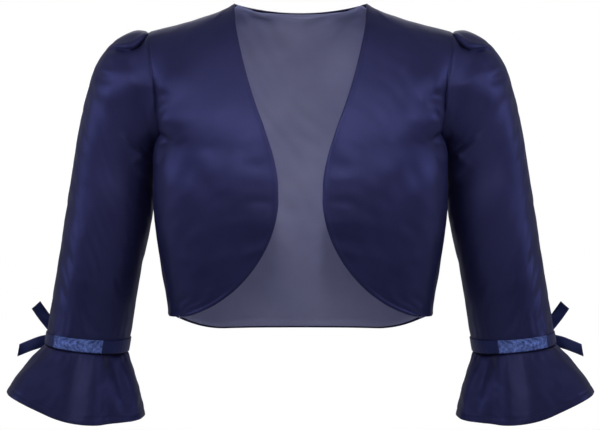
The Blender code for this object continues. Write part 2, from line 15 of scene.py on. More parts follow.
import bmesh
import bpy
import numpy as np
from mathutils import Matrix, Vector


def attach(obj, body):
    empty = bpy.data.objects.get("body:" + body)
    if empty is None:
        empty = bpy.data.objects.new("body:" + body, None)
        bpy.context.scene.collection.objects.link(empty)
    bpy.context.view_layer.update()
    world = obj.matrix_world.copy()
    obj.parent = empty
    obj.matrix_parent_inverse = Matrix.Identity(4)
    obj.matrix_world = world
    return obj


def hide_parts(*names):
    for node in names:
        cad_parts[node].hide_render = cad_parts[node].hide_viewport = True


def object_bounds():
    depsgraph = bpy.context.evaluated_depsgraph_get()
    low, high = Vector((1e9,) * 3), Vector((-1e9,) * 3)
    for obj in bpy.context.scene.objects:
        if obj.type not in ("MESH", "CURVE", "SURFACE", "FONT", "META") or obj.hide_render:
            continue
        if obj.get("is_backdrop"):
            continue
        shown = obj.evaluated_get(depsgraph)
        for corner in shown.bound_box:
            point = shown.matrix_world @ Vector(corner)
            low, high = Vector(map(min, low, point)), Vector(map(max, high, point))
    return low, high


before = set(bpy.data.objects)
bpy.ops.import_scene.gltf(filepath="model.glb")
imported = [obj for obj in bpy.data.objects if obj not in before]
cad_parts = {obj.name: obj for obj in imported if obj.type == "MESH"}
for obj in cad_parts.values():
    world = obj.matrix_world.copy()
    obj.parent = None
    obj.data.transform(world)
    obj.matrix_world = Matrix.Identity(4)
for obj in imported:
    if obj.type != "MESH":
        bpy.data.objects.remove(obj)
CAD_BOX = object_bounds()

MM = 0.001
TURN = 2 * math.pi
BODY = "root"
UV_LAYER = "cloth"
MIRROR_X = np.array([-1.0, 1.0, 1.0])

Array = np.ndarray
Pair = tuple[float, float]
log = logging.getLogger("bolero")


def stack(x: Array, y: Array, z: Array) -> Array:
    """Join three arrays of coordinates into one array of points."""
    return np.stack(np.broadcast_arrays(x, y, z), axis=-1)


def smooth_step(share: Array) -> Array:
    """Ease from 0 to 1: three times the square of the share less twice its cube."""
    share = np.clip(share, 0.0, 1.0)
    return share**2 * (3 - 2 * share)


def bell(distance: Array, width: float) -> Array:
    """Bell curve: e to the power of minus the square of distance over width."""
    return np.exp(-((distance / width) ** 2))


def unit(vectors: Array) -> Array:
    """Each vector divided by its length."""
    return vectors / np.linalg.norm(vectors, axis=-1, keepdims=True)


def bezier(t: Array, *corners: Sequence[float]) -> Array:
    """Point at t on a Bezier curve of three or four control points.

    Args:
        t: places along the curve, from 0 to 1.
        corners: the control points.

    Returns:
        The points, in an array with one more axis than t.
    """
    t = np.asarray(t, float)[..., None]
    order = len(corners) - 1
    total = 0.0
    for k, corner in enumerate(corners):
        total = total + math.comb(order, k) * (1 - t) ** (order - k) * t**k * np.array(corner, float)
    return total


def quarter(angle: Array, fullness: float) -> tuple[Array, Array]:
    """Cosine and sine of a quarter turn, each to the power of two over the fullness."""
    across = np.clip(np.cos(angle), 0.0, 1.0) ** (2.0 / fullness)
    out = np.clip(np.sin(angle), 0.0, 1.0) ** (2.0 / fullness)
    return across, out


def column(table: Sequence[NamedTuple], name: str, at: Array) -> Array:
    """Value of one column of a table at any station, in metres.

    The curve is a cubic through the rows, with the slope at each row taken from its neighbours.

    Args:
        table: rows whose first field is the station, in millimetres.
        name: the column.
        at: the stations wanted, in metres.

    Returns:
        The column's values there, in metres.
    """
    stations = np.array([row[0] for row in table], float)
    values = np.array([getattr(row, name) for row in table], float)
    slopes = np.gradient(values, stations)
    at = np.asarray(at) / MM
    place = np.clip(np.searchsorted(stations, at, side="right") - 1, 0, len(stations) - 2)
    span = stations[place + 1] - stations[place]
    part = (at - stations[place]) / span
    start = values[place] * (1 + 2 * part) + slopes[place] * span * part
    end = values[place + 1] * (3 - 2 * part) - slopes[place + 1] * span * (1 - part)
    return (start * (1 - part) ** 2 + end * part**2) * MM


class TorsoRow(NamedTuple):
    """Half section of the body at one level."""

    drop: float
    half_width: float
    front_depth: float
    back_depth: float
    side_y: float


class EdgeRow(NamedTuple):
    """How far the front edge stands from the centre at one level."""

    drop: float
    x: float


class SleeveRow(NamedTuple):
    """Ring of the sleeve: its points over and under the arm, and its middle front to back."""

    along: float
    over_x: float
    over_z: float
    under_x: float
    under_z: float
    axis_y: float
    half_depth: float


class WaveRow(NamedTuple):
    """Soft valley or ridge at one place round the flounce."""

    turn: float
    height: float
    width: float


TORSO = (
    TorsoRow(141, 149.0, 88, 89, 0),
    TorsoRow(176, 151.6, 90, 90, -7),
    TorsoRow(215, 151.8, 90, 90, -8),
    TorsoRow(250, 147.2, 88, 88, -8),
    TorsoRow(285, 141.2, 86, 85, -7),
    TorsoRow(322, 136.0, 84, 83, -6),
    TorsoRow(344, 133.5, 83, 82, -6),
)
FRONT_EDGE = (
    EdgeRow(0, 68.7),
    EdgeRow(23, 66.2),
    EdgeRow(54, 59.6),
    EdgeRow(95, 47.9),
    EdgeRow(130, 35.3),
    EdgeRow(158, 26.6),
    EdgeRow(178, 22.8),
    EdgeRow(200.7, 21.8),
)
SLEEVE = (
    SleeveRow(0, 156.5, -29.0, 143.0, -141.0, 0, 45),
    SleeveRow(10, 166.1, -27.3, 144.8, -141.8, 1.5, 46),
    SleeveRow(35, 188.6, -36.7, 147.4, -143.8, 5, 46),
    SleeveRow(67, 210.3, -60.6, 148.8, -149.4, 11, 45.5),
    SleeveRow(104, 222.6, -97.0, 150.7, -160.0, 17, 45),
    SleeveRow(165, 235.2, -156.4, 151.9, -184.0, 23, 44),
    SleeveRow(218, 243.5, -208.9, 154.3, -220.0, 26, 43.5),
    SleeveRow(272, 252.0, -261.8, 164.8, -268.6, 27.5, 43),
    SleeveRow(325, 260.6, -314.0, 173.2, -317.2, 29, 43),
    SleeveRow(365, 267.1, -354.1, 180.9, -362.4, 30.5, 43),
)
FLOUNCE_WAVES = (
    WaveRow(0.05, 2.0, 0.050),
    WaveRow(0.17, -2.6, 0.045),
    WaveRow(0.27, 2.4, 0.050),
    WaveRow(0.345, -6.0, 0.032),
    WaveRow(0.415, 3.4, 0.035),
    WaveRow(0.56, -2.6, 0.040),
    WaveRow(0.66, 2.8, 0.045),
    WaveRow(0.77, -3.0, 0.045),
    WaveRow(0.88, 2.4, 0.050),
)


@dataclass(frozen=True)
class JacketForm:
    """The jacket's form: sizes in metres, and the surfaces that its left half is made of."""

    seam_gap: float = 0.05 * MM
    rest_gap: float = 0.3 * MM
    neck_half_width: float = 68.7 * MM
    neck_depth: float = 60.0 * MM
    neck_drop: float = 8.0 * MM
    shoulder_half_width: float = 156.5 * MM
    shoulder_drop: float = 29.0 * MM
    shoulder_bends: tuple[Pair, Pair] = ((125.0 * MM, -21.6 * MM), (82.0 * MM, -10.5 * MM))
    shoulder_fullness: float = 1.8
    neck_column: float = 0.68
    armpit_drop: float = 141.0 * MM
    torso_fullness: float = 2.5
    underarm_tuck: float = 6.0 * MM
    underarm_tuck_length: float = 9.0 * MM
    chest_drop_front: float = 148.0 * MM
    chest_drop_back: float = 150.0 * MM
    side_hem_drop: float = 322.0 * MM
    back_hem_drop: float = 342.0 * MM
    hem_levels_at: float = 0.65
    cutaway_start: Pair = (21.8 * MM, 200.7 * MM)
    cutaway_end: Pair = (123.5 * MM, 320.2 * MM)
    cutaway_fullness: float = 1.8
    cutaway_round: float = math.radians(83)
    edge_profile_fullness: float = 1.6
    armhole_foot_x: float = 143.0 * MM
    armhole_half_depth: float = 45.0 * MM
    pleat_length: float = 54.0 * MM
    pleat_recess: float = 5.0 * MM
    pleat_lip_at_seam: float = math.radians(11)
    pleat_lip_widest: float = math.radians(40)
    pleat_lip_at_end: float = math.radians(12)
    pleat_widens_over: float = 20.0 * MM
    pleat_step: float = math.radians(4)
    pleat_eases_over: float = math.radians(45)
    lip_column: float = 0.16
    step_column: float = 0.20
    sleeve_length: float = 365.0 * MM
    cuff_tilt: float = math.radians(2.8)
    flounce_outer: Pair = (306.8 * MM, -404.4 * MM)
    flounce_inner: Pair = (162.3 * MM, -429.4 * MM)
    flounce_half_depth: float = 57.0 * MM
    flounce_axis_y: float = 32.0 * MM
    flounce_droop: float = 15.5 * MM
    flounce_early_flare: float = 0.3

    def torso_section(self, turn: Array, drop: Array, facing: int) -> Array:
        """Point on the torso, a full ellipse at each level, tucked in under the arm.

        Args:
            turn: 0 at the side seam and 1 at the centre.
            drop: how far below the neck points.
            facing: -1 for the front and 1 for the back.

        Returns:
            The points.
        """
        across, out = quarter(np.asarray(turn) * math.pi / 2, self.torso_fullness)
        depth = column(TORSO, "front_depth" if facing < 0 else "back_depth", drop)
        side_y = column(TORSO, "side_y", drop)
        from_armpit = (np.asarray(drop) - self.armpit_drop) / self.underarm_tuck_length
        tuck = self.underarm_tuck * np.exp(-((np.asarray(turn) / 0.12) ** 2) - from_armpit**2)
        x = column(TORSO, "half_width", drop) * across - tuck
        return stack(x, side_y + (facing * depth - side_y) * out, -np.asarray(drop))

    def torso_turn(self, x: Array, drop: Array) -> Array:
        """How far round the torso, from side to centre, a point x from the centre lies."""
        share = np.clip(x / column(TORSO, "half_width", drop), 0.0, 1.0)
        return np.arccos(share ** (self.torso_fullness / 2)) * 2 / math.pi

    def shoulder_seam(self, t: Array) -> Array:
        """Point on the shoulder seam, a Bezier curve: t 0 is the shoulder point, 1 the neck point."""
        corners = (
            (self.shoulder_half_width, -self.shoulder_drop),
            *self.shoulder_bends,
            (self.neck_half_width, 0.0),
        )
        x_z = bezier(t, *corners)
        return stack(x_z[..., 0], np.zeros_like(x_z[..., 0]), x_z[..., 1])

    def armhole(self, angle: Array) -> Array:
        """Point on the armhole, a leaning ellipse: angle 0 is the shoulder point, a half turn the armpit."""
        lean = (self.shoulder_half_width - self.armhole_foot_x) / 2
        half_height = (self.armpit_drop - self.shoulder_drop) / 2
        x = (self.shoulder_half_width + self.armhole_foot_x) / 2 + lean * np.cos(angle)
        y = -self.armhole_half_depth * np.sin(angle)
        z = -(self.shoulder_drop + self.armpit_drop) / 2 + half_height * np.cos(angle)
        return stack(x, y, z)

    def front_edge(self, v: Array) -> Array:
        """Point on the cut-away edge: v 0 is the neck point, 1 the chest level, 2 the hem.

        The edge drops along a rounded profile to the chest, then down a gentle slope, then round
        most of a quarter turn of a wide oval to the hem.

        Args:
            v: places along the edge.

        Returns:
            The points.
        """
        v = np.asarray(v, float)
        across, out = quarter(np.clip(v, 0, 1) * math.pi / 2, self.edge_profile_fullness)
        start_x, start_drop = self.cutaway_start
        end_x, end_drop = self.cutaway_end
        straight = start_drop - self.chest_drop_front
        round_length = math.hypot(end_x - start_x, end_drop - start_drop) * 1.1
        straight_share = straight / (straight + round_length)
        below = np.clip(v - 1, 0, 1)
        in_round = np.clip((below - straight_share) / (1 - straight_share), 0, 1)
        forward, down = quarter(in_round * self.cutaway_round, self.cutaway_fullness)
        last_forward, last_down = quarter(np.array(self.cutaway_round), self.cutaway_fullness)
        slope_drop = self.chest_drop_front + straight * np.clip(below / straight_share, 0, 1)
        round_drop = start_drop + (end_drop - start_drop) * down / last_down
        upper_drop = self.chest_drop_front * (1 - across)
        drop = np.where(v <= 1, upper_drop, np.where(in_round > 0, round_drop, slope_drop))
        round_x = end_x - (end_x - start_x) * (forward - last_forward) / (1 - last_forward)
        straight_x = column(FRONT_EDGE, "x", np.minimum(drop, start_drop))
        x = np.where(in_round > 0, round_x, straight_x)
        low = np.maximum(drop, self.chest_drop_front)
        on_torso = self.torso_section(self.torso_turn(x, low), low, -1)
        return stack(x, on_torso[..., 1] * np.where(v <= 1, out, 1.0), -drop)

    def shoulder_to_chest(
        self, u: Array, v: Array, top: Array, chest: Array, side: Array, centre: Array, settle: float
    ) -> Array:
        """Upper part of a panel, rolled over the shoulder from its top border to the chest level.

        Each column falls along a rounded profile, then leans to the armhole on one side and to
        the front edge or the centre of the back on the other, so the panel ends on both exactly.

        Args:
            u: columns, 0 at the armhole.
            v: rows, 0 at the top and 1 at the chest.
            top: points of the top border.
            chest: points at the chest level.
            side: points of the armhole border.
            centre: points of the other border.
            settle: how soon the lean towards that other border dies away.

        Returns:
            The grid of points.
        """
        across, out = quarter(v * math.pi / 2, self.shoulder_fullness)
        profile = stack(1 - across, out, 1 - across)
        middle = top + (chest - top) * profile
        side_base = top[..., :1, :] + (chest[..., :1, :] - top[..., :1, :]) * profile[..., :1, :]
        end_base = top[..., -1:, :] + (chest[..., -1:, :] - top[..., -1:, :]) * profile[..., -1:, :]
        side_lean = (side - side_base) * ((1 - u) ** 1.3)[..., None]
        return middle + side_lean + (centre - end_base) * (u**settle)[..., None]

    def front(self, u: Array, v: Array) -> Array:
        """Left front: u 0 is the armhole and side seam, 1 the edge; v 0 shoulder, 1 chest, 2 hem."""
        columns, rows = u[None, :], v[:, None]
        high = np.minimum(rows, 1.0)
        chest_turn = self.torso_turn(self.front_edge(np.array(1.0))[0], self.chest_drop_front)
        chest_drop = self.armpit_drop + (self.chest_drop_front - self.armpit_drop) * columns
        chest = self.torso_section(columns * chest_turn, chest_drop, -1)
        borders = (self.shoulder_seam(columns), chest, self.armhole(high * math.pi), self.front_edge(high))
        upper = self.shoulder_to_chest(columns, high, *borders, 1.0)
        edge = self.front_edge(np.maximum(rows, 1.0))
        side_drop = self.armpit_drop + (self.side_hem_drop - self.armpit_drop) * np.clip(rows - 1, 0, 1)
        drop = side_drop + (-edge[..., 2] - side_drop) * columns
        lower = self.torso_section(columns * self.torso_turn(edge[..., 0], -edge[..., 2]), drop, -1)
        return np.where((rows <= 1)[..., None], upper, lower) - np.array([0.0, self.seam_gap / 2, 0.0])

    def back_top(self, u: Array, v: Array) -> Array:
        """Top border of the back: shoulder seam then neck curve, eased into one sweep lower down."""
        seam = self.shoulder_seam(np.minimum(u / self.neck_column, 1.0))
        swing = np.clip((u - self.neck_column) / (1 - self.neck_column), 0, 1) * math.pi / 2
        neck = stack(
            self.neck_half_width * np.cos(swing),
            self.neck_depth * np.sin(swing),
            -self.neck_drop * np.sin(swing) ** 2,
        )
        cut = np.where((u <= self.neck_column)[..., None], seam, neck)
        sweep = bezier(
            u,
            (self.shoulder_half_width, 0.0, -self.shoulder_drop),
            (115 * MM, 0.0, -17 * MM),
            (75 * MM, 52 * MM, 2 * MM),
            (0.0, self.neck_depth, -self.neck_drop),
        )
        return sweep + (cut - sweep) * bell(v, 0.12)[..., None]

    def back(self, u: Array, v: Array) -> Array:
        """Left half of the back: u 0 is the armhole and side seam, 1 the centre; v as for the front."""
        columns, rows = u[None, :], v[:, None]
        high = np.minimum(rows, 1.0)
        ease = smooth_step(columns / self.hem_levels_at)
        chest_drop = self.armpit_drop + (self.chest_drop_back - self.armpit_drop) * ease
        chest = self.torso_section(columns, chest_drop, 1)
        centre = stack(
            0.0 * high,
            self.neck_depth + (chest[..., -1:, 1] - self.neck_depth) * (1 - (1 - high) ** 1.5),
            -self.neck_drop - (self.chest_drop_back - self.neck_drop) * (0.35 * high + 0.65 * high**2),
        )
        borders = (self.back_top(columns, high), chest, self.armhole(-high * math.pi), centre)
        upper = self.shoulder_to_chest(columns, high, *borders, 3.0)
        below = np.clip(rows - 1, 0, 1)
        side_drop = self.armpit_drop + (self.side_hem_drop - self.armpit_drop) * below
        centre_drop = self.chest_drop_back + (self.back_hem_drop - self.chest_drop_back) * below
        lower = self.torso_section(columns, side_drop + (centre_drop - side_drop) * ease, 1)
        return np.where((rows <= 1)[..., None], upper, lower) + np.array([0.0, self.seam_gap / 2, 0.0])

    def pleat_lip(self, along: Array) -> Array:
        """Angle from the top of the arm at which the box pleat's folded lip lies."""
        widened = np.clip(along / self.pleat_widens_over, 0, 1)
        closed = (along - self.pleat_widens_over) / (self.pleat_length - self.pleat_widens_over)
        opening = (self.pleat_lip_widest - self.pleat_lip_at_seam) * widened * (2 - widened)
        closing = (self.pleat_lip_widest - self.pleat_lip_at_end) * smooth_step(closed)
        return self.pleat_lip_at_seam + opening - closing

    def sleeve_point(self, angle: Array, along: Array) -> Array:
        """Point on the left sleeve, a leaning ellipse at each station, sunk beyond the pleat's lip.

        Args:
            angle: 0 over the arm, a quarter turn in front.
            along: metres from the armhole.

        Returns:
            The points.
        """
        over_x, over_z, under_x, under_z, axis_y, half_depth = (
            column(SLEEVE, name, along) for name in SleeveRow._fields[1:]
        )
        tilt = self.cuff_tilt * along / self.sleeve_length
        past_lip = np.abs(angle) - self.pleat_lip(along)
        strength = np.sin(math.pi * np.clip(along / self.pleat_length, 0, 1)) ** 2
        fall = smooth_step(past_lip / self.pleat_step)
        rise = np.cos(math.pi / 2 * np.clip((past_lip - self.pleat_step) / self.pleat_eases_over, 0, 1))
        size = 1 - self.pleat_recess * strength * fall * rise / half_depth
        up, front = np.cos(angle) * size, np.sin(angle) * size
        x = (over_x + under_x) / 2 + (over_x - under_x) / 2 * up
        y = axis_y - half_depth * front * np.cos(tilt)
        z = (over_z + under_z) / 2 + (over_z - under_z) / 2 * up - half_depth * front * np.sin(tilt)
        return stack(x + self.seam_gap, y, z)

    def sleeve(self, u: Array, v: Array) -> Array:
        """Sleeve with its columns drawn to the pleat's lip: u goes once round, v is metres along."""
        along = v[:, None]
        lip = self.pleat_lip(along)
        signed = (u[None, :] + 0.5) % 1.0 - 0.5
        way = np.abs(signed) * 2
        inside = way / self.lip_column * lip
        step = lip + (way - self.lip_column) / (self.step_column - self.lip_column) * self.pleat_step
        rest = math.pi - lip - self.pleat_step
        beyond = lip + self.pleat_step + (way - self.step_column) / (1 - self.step_column) * rest
        angle = np.where(way <= self.lip_column, inside, np.where(way <= self.step_column, step, beyond))
        return self.sleeve_point(np.sign(signed) * angle, along)

    def cuff(self, u: Array, v: Array) -> Array:
        """Lower sleeve with even columns: u goes once round from the outer side, v is metres along."""
        return self.sleeve_point(u[None, :] * TURN, v[:, None])

    def flounce(self, u: Array, v: Array) -> Array:
        """Flounce: straight lines from the cuff to a wide wavy ring, bowed a little outwards.

        Args:
            u: once round from the outer side, a quarter in front.
            v: 0 at the seam and 1 at the hem.

        Returns:
            The grid of points.
        """
        down, angle = v[:, None], u[None, :] * TURN
        seam = self.cuff(u, np.array([self.sleeve_length])) - np.array([0.0, 0.0, self.seam_gap])
        middle = (np.array(self.flounce_outer) + np.array(self.flounce_inner)) / 2
        half = (np.array(self.flounce_outer) - np.array(self.flounce_inner)) / 2
        swell = 1 + sum(
            wave.height * MM * bell((u[None, :] - wave.turn + 0.5) % 1.0 - 0.5, wave.width)
            for wave in FLOUNCE_WAVES
        ) / self.flounce_half_depth
        hem = stack(
            middle[0] + half[0] * np.cos(angle) * swell,
            self.flounce_axis_y - self.flounce_half_depth * np.sin(angle) * swell,
            middle[1] + half[1] * np.cos(angle) - self.flounce_droop * np.sin(angle) ** 2,
        )
        spread = down * (1 + self.flounce_early_flare * (1 - down))
        return seam + (hem - seam) * stack(spread, spread, down)


class Profile(Enum):
    """How a crease stands across its own line."""

    SOFT = "a round swell or dip"
    LIP = "a step: raised on the left of its line, sunk on the right"


class Fold(NamedTuple):
    """A crease on a panel seen flat: its line, a curve through three corners, and its size."""

    start: Pair
    bend: Pair
    end: Pair
    width: float
    height: float
    profile: Profile = Profile.SOFT


FRONT_FOLDS = (
    # the pull from the armhole: a dark wedge, a raised line below it and the notch at its foot
    Fold((150, -94), (140, -97), (122, -101), 5.2, -2.3),
    Fold((130, -86), (138, -86), (149, -82), 4.5, 0.8),
    Fold((125, -100), (138, -109), (148, -129), 5.2, 1.9, Profile.LIP),
    Fold((149, -132), (142, -133), (130, -140), 3.6, -2.8),
    Fold((134, -141), (140, -146), (147, -170), 5.0, 1.8, Profile.LIP),
    Fold((147, -78), (128, -74), (104, -88), 10.0, 1.5),
    Fold((146, -116), (128, -121), (104, -114), 7.0, 1.2),
    # a thin pull under the neck point
    Fold((77, -6), (83, -11), (90, -18), 1.6, 0.6),
    Fold((80, -12), (84, -20), (80, -34), 6.0, -0.5),
    # a slanting hollow below the chest, towards the side
    Fold((140, -152), (112, -166), (84, -196), 15.0, -1.6),
    Fold((122, -196), (112, -226), (118, -262), 18.0, -1.4),
    # short ripples that run in from the front edge
    Fold((24, -160), (40, -169), (62, -163), 6.0, -0.8),
    Fold((22, -178), (40, -181), (66, -174), 7.0, 0.8),
    Fold((24, -203), (42, -200), (58, -203), 5.0, -0.8),
    Fold((26, -222), (52, -220), (86, -229), 7.5, 1.0),
    Fold((28, -237), (42, -240), (62, -243), 5.5, -1.2),
    Fold((36, -249), (48, -253), (62, -257), 4.0, 1.1),
    Fold((64, -240), (80, -252), (98, -250), 9.0, -0.9),
    # the lower front hangs in two shallow swells
    Fold((112, -240), (88, -262), (86, -300), 16.0, -1.2),
    Fold((128, -200), (134, -250), (128, -312), 9.0, 0.9),
)
BACK_FOLDS = (
    Fold((138, -84), (112, -92), (84, -78), 8.0, 1.3),
    Fold((142, -104), (118, -106), (92, -116), 6.0, -1.5),
    Fold((146, -126), (128, -120), (108, -132), 5.0, 1.2),
    Fold((146, -150), (132, -152), (116, -170), 6.0, -1.0),
    Fold((-139, -86), (-114, -88), (-88, -74), 7.0, 1.2),
    Fold((-143, -108), (-116, -112), (-86, -104), 6.5, -1.6),
    Fold((-146, -130), (-130, -128), (-112, -142), 5.0, 1.0),
    Fold((-62, -24), (-34, -30), (4, -26), 7.0, -0.6),
    Fold((54, -40), (20, -48), (-30, -44), 10.0, 0.7),
    Fold((96, -180), (88, -240), (94, -328), 13.0, -1.5),
    Fold((62, -210), (58, -262), (66, -338), 11.0, 1.3),
    Fold((20, -190), (14, -250), (24, -338), 14.0, -1.1),
    Fold((-30, -200), (-26, -262), (-36, -338), 12.0, 1.1),
    Fold((-84, -176), (-76, -240), (-86, -330), 14.0, -1.4),
    Fold((-124, -206), (-118, -250), (-122, -318), 9.0, 1.0),
    Fold((124, -220), (118, -262), (120, -318), 8.0, 1.0),
)
LINING_FOLDS = (
    Fold((-46, -30), (-10, -40), (40, -34), 12.0, 0.8),
    Fold((-36, -96), (0, -104), (38, -94), 14.0, -0.7),
    Fold((10, -130), (4, -180), (12, -236), 12.0, 0.7),
    Fold((-14, -190), (-8, -250), (-18, -310), 12.0, -0.8),
    Fold((44, -240), (40, -280), (52, -318), 9.0, 0.8),
    Fold((-60, -260), (-52, -290), (-64, -320), 8.0, 0.7),
)
SLEEVE_FRONT_FOLDS = (
    # the crease below the pleat, and the swell that it bounds
    Fold((214, -73), (206, -76), (192, -82), 4.4, -1.6),
    Fold((214, -66), (204, -68), (190, -72), 4.0, 1.0),
    Fold((210, -84), (200, -92), (186, -104), 10.0, 1.5),
    Fold((174, -58), (182, -64), (192, -64), 6.0, -1.4),
    # hollows beside the armhole
    Fold((154, -132), (164, -112), (166, -82), 9.0, -2.6),
    Fold((148, -100), (153, -108), (153, -122), 4.0, 1.2),
    # the small star of pulls over the elbow's bend
    Fold((186, -132), (176, -140), (158, -160), 4.2, 3.0, Profile.LIP),
    Fold((172, -147), (163, -149), (157, -155), 3.0, -2.2),
    Fold((156, -148), (166, -158), (178, -170), 3.6, 2.4),
    Fold((180, -160), (174, -172), (162, -182), 4.6, -2.4),
    Fold((170, -170), (163, -176), (156, -176), 3.0, 1.2),
    Fold((198, -140), (204, -162), (196, -190), 10.0, -1.5),
    Fold((152, -180), (160, -196), (164, -222), 6.0, -1.4),
    # long shallow swells down the arm
    Fold((212, -104), (216, -140), (226, -190), 12.0, 1.3),
    Fold((192, -186), (184, -214), (190, -250), 10.0, 1.2),
    Fold((188, -206), (204, -238), (208, -300), 12.0, -1.5),
    Fold((228, -226), (234, -262), (240, -304), 10.0, 1.1),
    Fold((172, -236), (182, -262), (180, -300), 9.0, 1.0),
    Fold((244, -252), (236, -274), (224, -286), 6.0, -1.2),
    Fold((238, -262), (230, -284), (214, -294), 6.0, 1.0),
)
SLEEVE_BACK_FOLDS = (
    Fold((214, -74), (204, -80), (190, -82), 4.0, -1.4),
    Fold((152, -112), (166, -108), (178, -94), 8.0, -2.0),
    Fold((152, -134), (168, -134), (186, -148), 6.0, 1.4),
    Fold((156, -168), (178, -172), (206, -164), 6.0, -1.6),
    Fold((154, -192), (176, -200), (208, -188), 7.0, 1.5),
    Fold((160, -218), (184, -228), (216, -214), 6.0, -1.5),
    Fold((166, -250), (186, -256), (206, -246), 6.0, 1.0),
    Fold((222, -120), (224, -160), (232, -206), 12.0, 1.0),
    Fold((214, -250), (220, -280), (228, -306), 10.0, -0.9),
    Fold((188, -270), (192, -290), (200, -310), 8.0, 0.9),
)
FLOUNCE_FRONT_FOLDS = (
    # the deep flute that slants in to the hem, and the narrow ridge beside it
    Fold((200, -336), (188, -376), (174, -436), 10.5, -7.5),
    Fold((176, -372), (171, -392), (166, -424), 4.0, 2.0),
    Fold((246, -366), (254, -384), (268, -400), 12.0, -1.0),
)
FOLD_STEPS = 20
FOLD_REACH = 3.2


def fold_relief(flat: Array, folds: Sequence[Fold]) -> Array:
    """Height that a table of creases gives to places on a flat view of a panel.

    For each crease the distance to its line is turned into a height by its profile, and the height
    dies away to nothing at both ends as the sine of the way along.

    Args:
        flat: places, x and z in metres, in the last axis.
        folds: the creases.

    Returns:
        The height at each place, in metres.
    """
    places = flat.reshape(-1, 2)
    height = np.zeros(len(places))
    for fold in folds:
        width = fold.width * MM
        line = bezier(np.linspace(0, 1, FOLD_STEPS + 1), fold.start, fold.bend, fold.end) * MM
        reach = FOLD_REACH * width
        near = np.all((places > line.min(0) - reach) & (places < line.max(0) + reach), axis=1)
        step = np.diff(line, axis=0)
        away = places[near][:, None, :] - line[:-1]
        part = np.clip((away * step).sum(-1) / (step**2).sum(-1), 0, 1)
        miss = away - part[..., None] * step
        apart = np.linalg.norm(miss, axis=-1)
        first = apart.argmin(-1)[:, None]
        distance = np.take_along_axis(apart, first, 1)[:, 0] / width
        turned = step[:, 0] * miss[..., 1] - step[:, 1] * miss[..., 0]
        left = np.sign(np.take_along_axis(turned, first, 1)[:, 0])
        along = (first[:, 0] + np.take_along_axis(part, first, 1)[:, 0]) / FOLD_STEPS
        if fold.profile is Profile.SOFT:
            shape = np.exp(-(distance**2))
        else:
            shape = 1.6 * left * distance * np.exp(-(distance**2)) + 0.5 * np.exp(-(distance**2))
        taper = np.sin(math.pi * np.clip(along, 0.02, 0.98)) ** 0.7
        height[near] += fold.height * MM * taper * shape
    return height.reshape(flat.shape[:-1])


def unevenness(s: Array, t: Array, seed: int, height: float, shortest: float, longest: float) -> Array:
    """The faint unevenness of pressed satin: a sum of waves in many directions.

    Each wave is a sine of the place along its own direction, shifted by a slower sine across it, so
    that no wave repeats as a stripe.

    Args:
        s: places across the cloth, in metres.
        t: places along it.
        seed: which set of waves.
        height: root mean square height of the sum.
        shortest: shortest wavelength.
        longest: longest wavelength.

    Returns:
        The height at each place.
    """
    draw = np.random.default_rng(seed)
    total = np.zeros(np.broadcast(s, t).shape)
    count = 9
    for _ in range(count):
        heading, phase, sway = draw.uniform(0, TURN, 3)
        wavelength = math.exp(draw.uniform(math.log(shortest), math.log(longest)))
        ahead = s * math.cos(heading) + t * math.sin(heading)
        across = t * math.cos(heading) - s * math.sin(heading)
        bent = ahead + 0.18 * wavelength * np.sin(TURN * across / (1.7 * wavelength) + sway)
        total = total + np.sin(TURN * bent / wavelength + phase)
    return total * height * math.sqrt(2 / count)


class Lengths(NamedTuple):
    """Distances on a grid, measured along the cloth in metres."""

    across: Array
    along: Array
    width: Array
    length: Array


def lengths_of(grid: Array, wraps: bool) -> Lengths:
    """Distances of each point of a grid from its first column and its first row.

    Args:
        grid: rows of points.
        wraps: True where the last column joins the first.

    Returns:
        The distances, and each row's whole width and each column's whole length.
    """
    ring = np.concatenate([grid, grid[:, :1]], axis=1) if wraps else grid
    steps = np.linalg.norm(np.diff(ring, axis=1), axis=-1)
    width = steps.sum(1)
    across = np.concatenate([np.zeros((len(grid), 1)), np.cumsum(steps, axis=1)], axis=1)
    drops = np.linalg.norm(np.diff(grid, axis=0), axis=-1)
    along = np.concatenate([np.zeros((1, grid.shape[1])), np.cumsum(drops, axis=0)], axis=0)
    return Lengths(across[:, : grid.shape[1]], along, width[:, None], along[-1:])


def normals_of(grid: Array, wraps: bool) -> Array:
    """Unit normals of a grid: the cross product of its slopes across and along."""
    if wraps:
        ring = np.concatenate([grid[:, -1:], grid, grid[:, :1]], axis=1)
        along_u = (ring[:, 2:] - ring[:, :-2]) / 2
    else:
        along_u = np.gradient(grid, axis=1)
    normal = np.cross(along_u, np.gradient(grid, axis=0))
    return normal / np.maximum(np.linalg.norm(normal, axis=-1, keepdims=True), 1e-12)


def outward_of(grid: Array, wraps: bool, at: int, axis: int, sign: int = 1) -> Array:
    """Unit normals of a grid, turned so that those of its middle row face out in column at.

    Args:
        grid: rows of points.
        wraps: True where the last column joins the first.
        at: the column.
        axis: 0, 1 or 2 for x, y or z, along which out is known there.
        sign: 1 or -1, the way that out goes along that axis.

    Returns:
        The normals.
    """
    normal = normals_of(grid, wraps)
    return normal * sign * np.sign(normal[len(grid) // 2, at, axis])


def tube_faces(rows: int, columns: int) -> Array:
    """Four-sided faces between the rows of a grid whose last column joins the first."""
    row, col = (a.ravel() for a in np.meshgrid(np.arange(rows - 1), np.arange(columns), indexing="ij"))
    near = np.stack([row * columns + col, row * columns + (col + 1) % columns], axis=1)
    return np.concatenate([near, near[:, ::-1] + columns], axis=1)


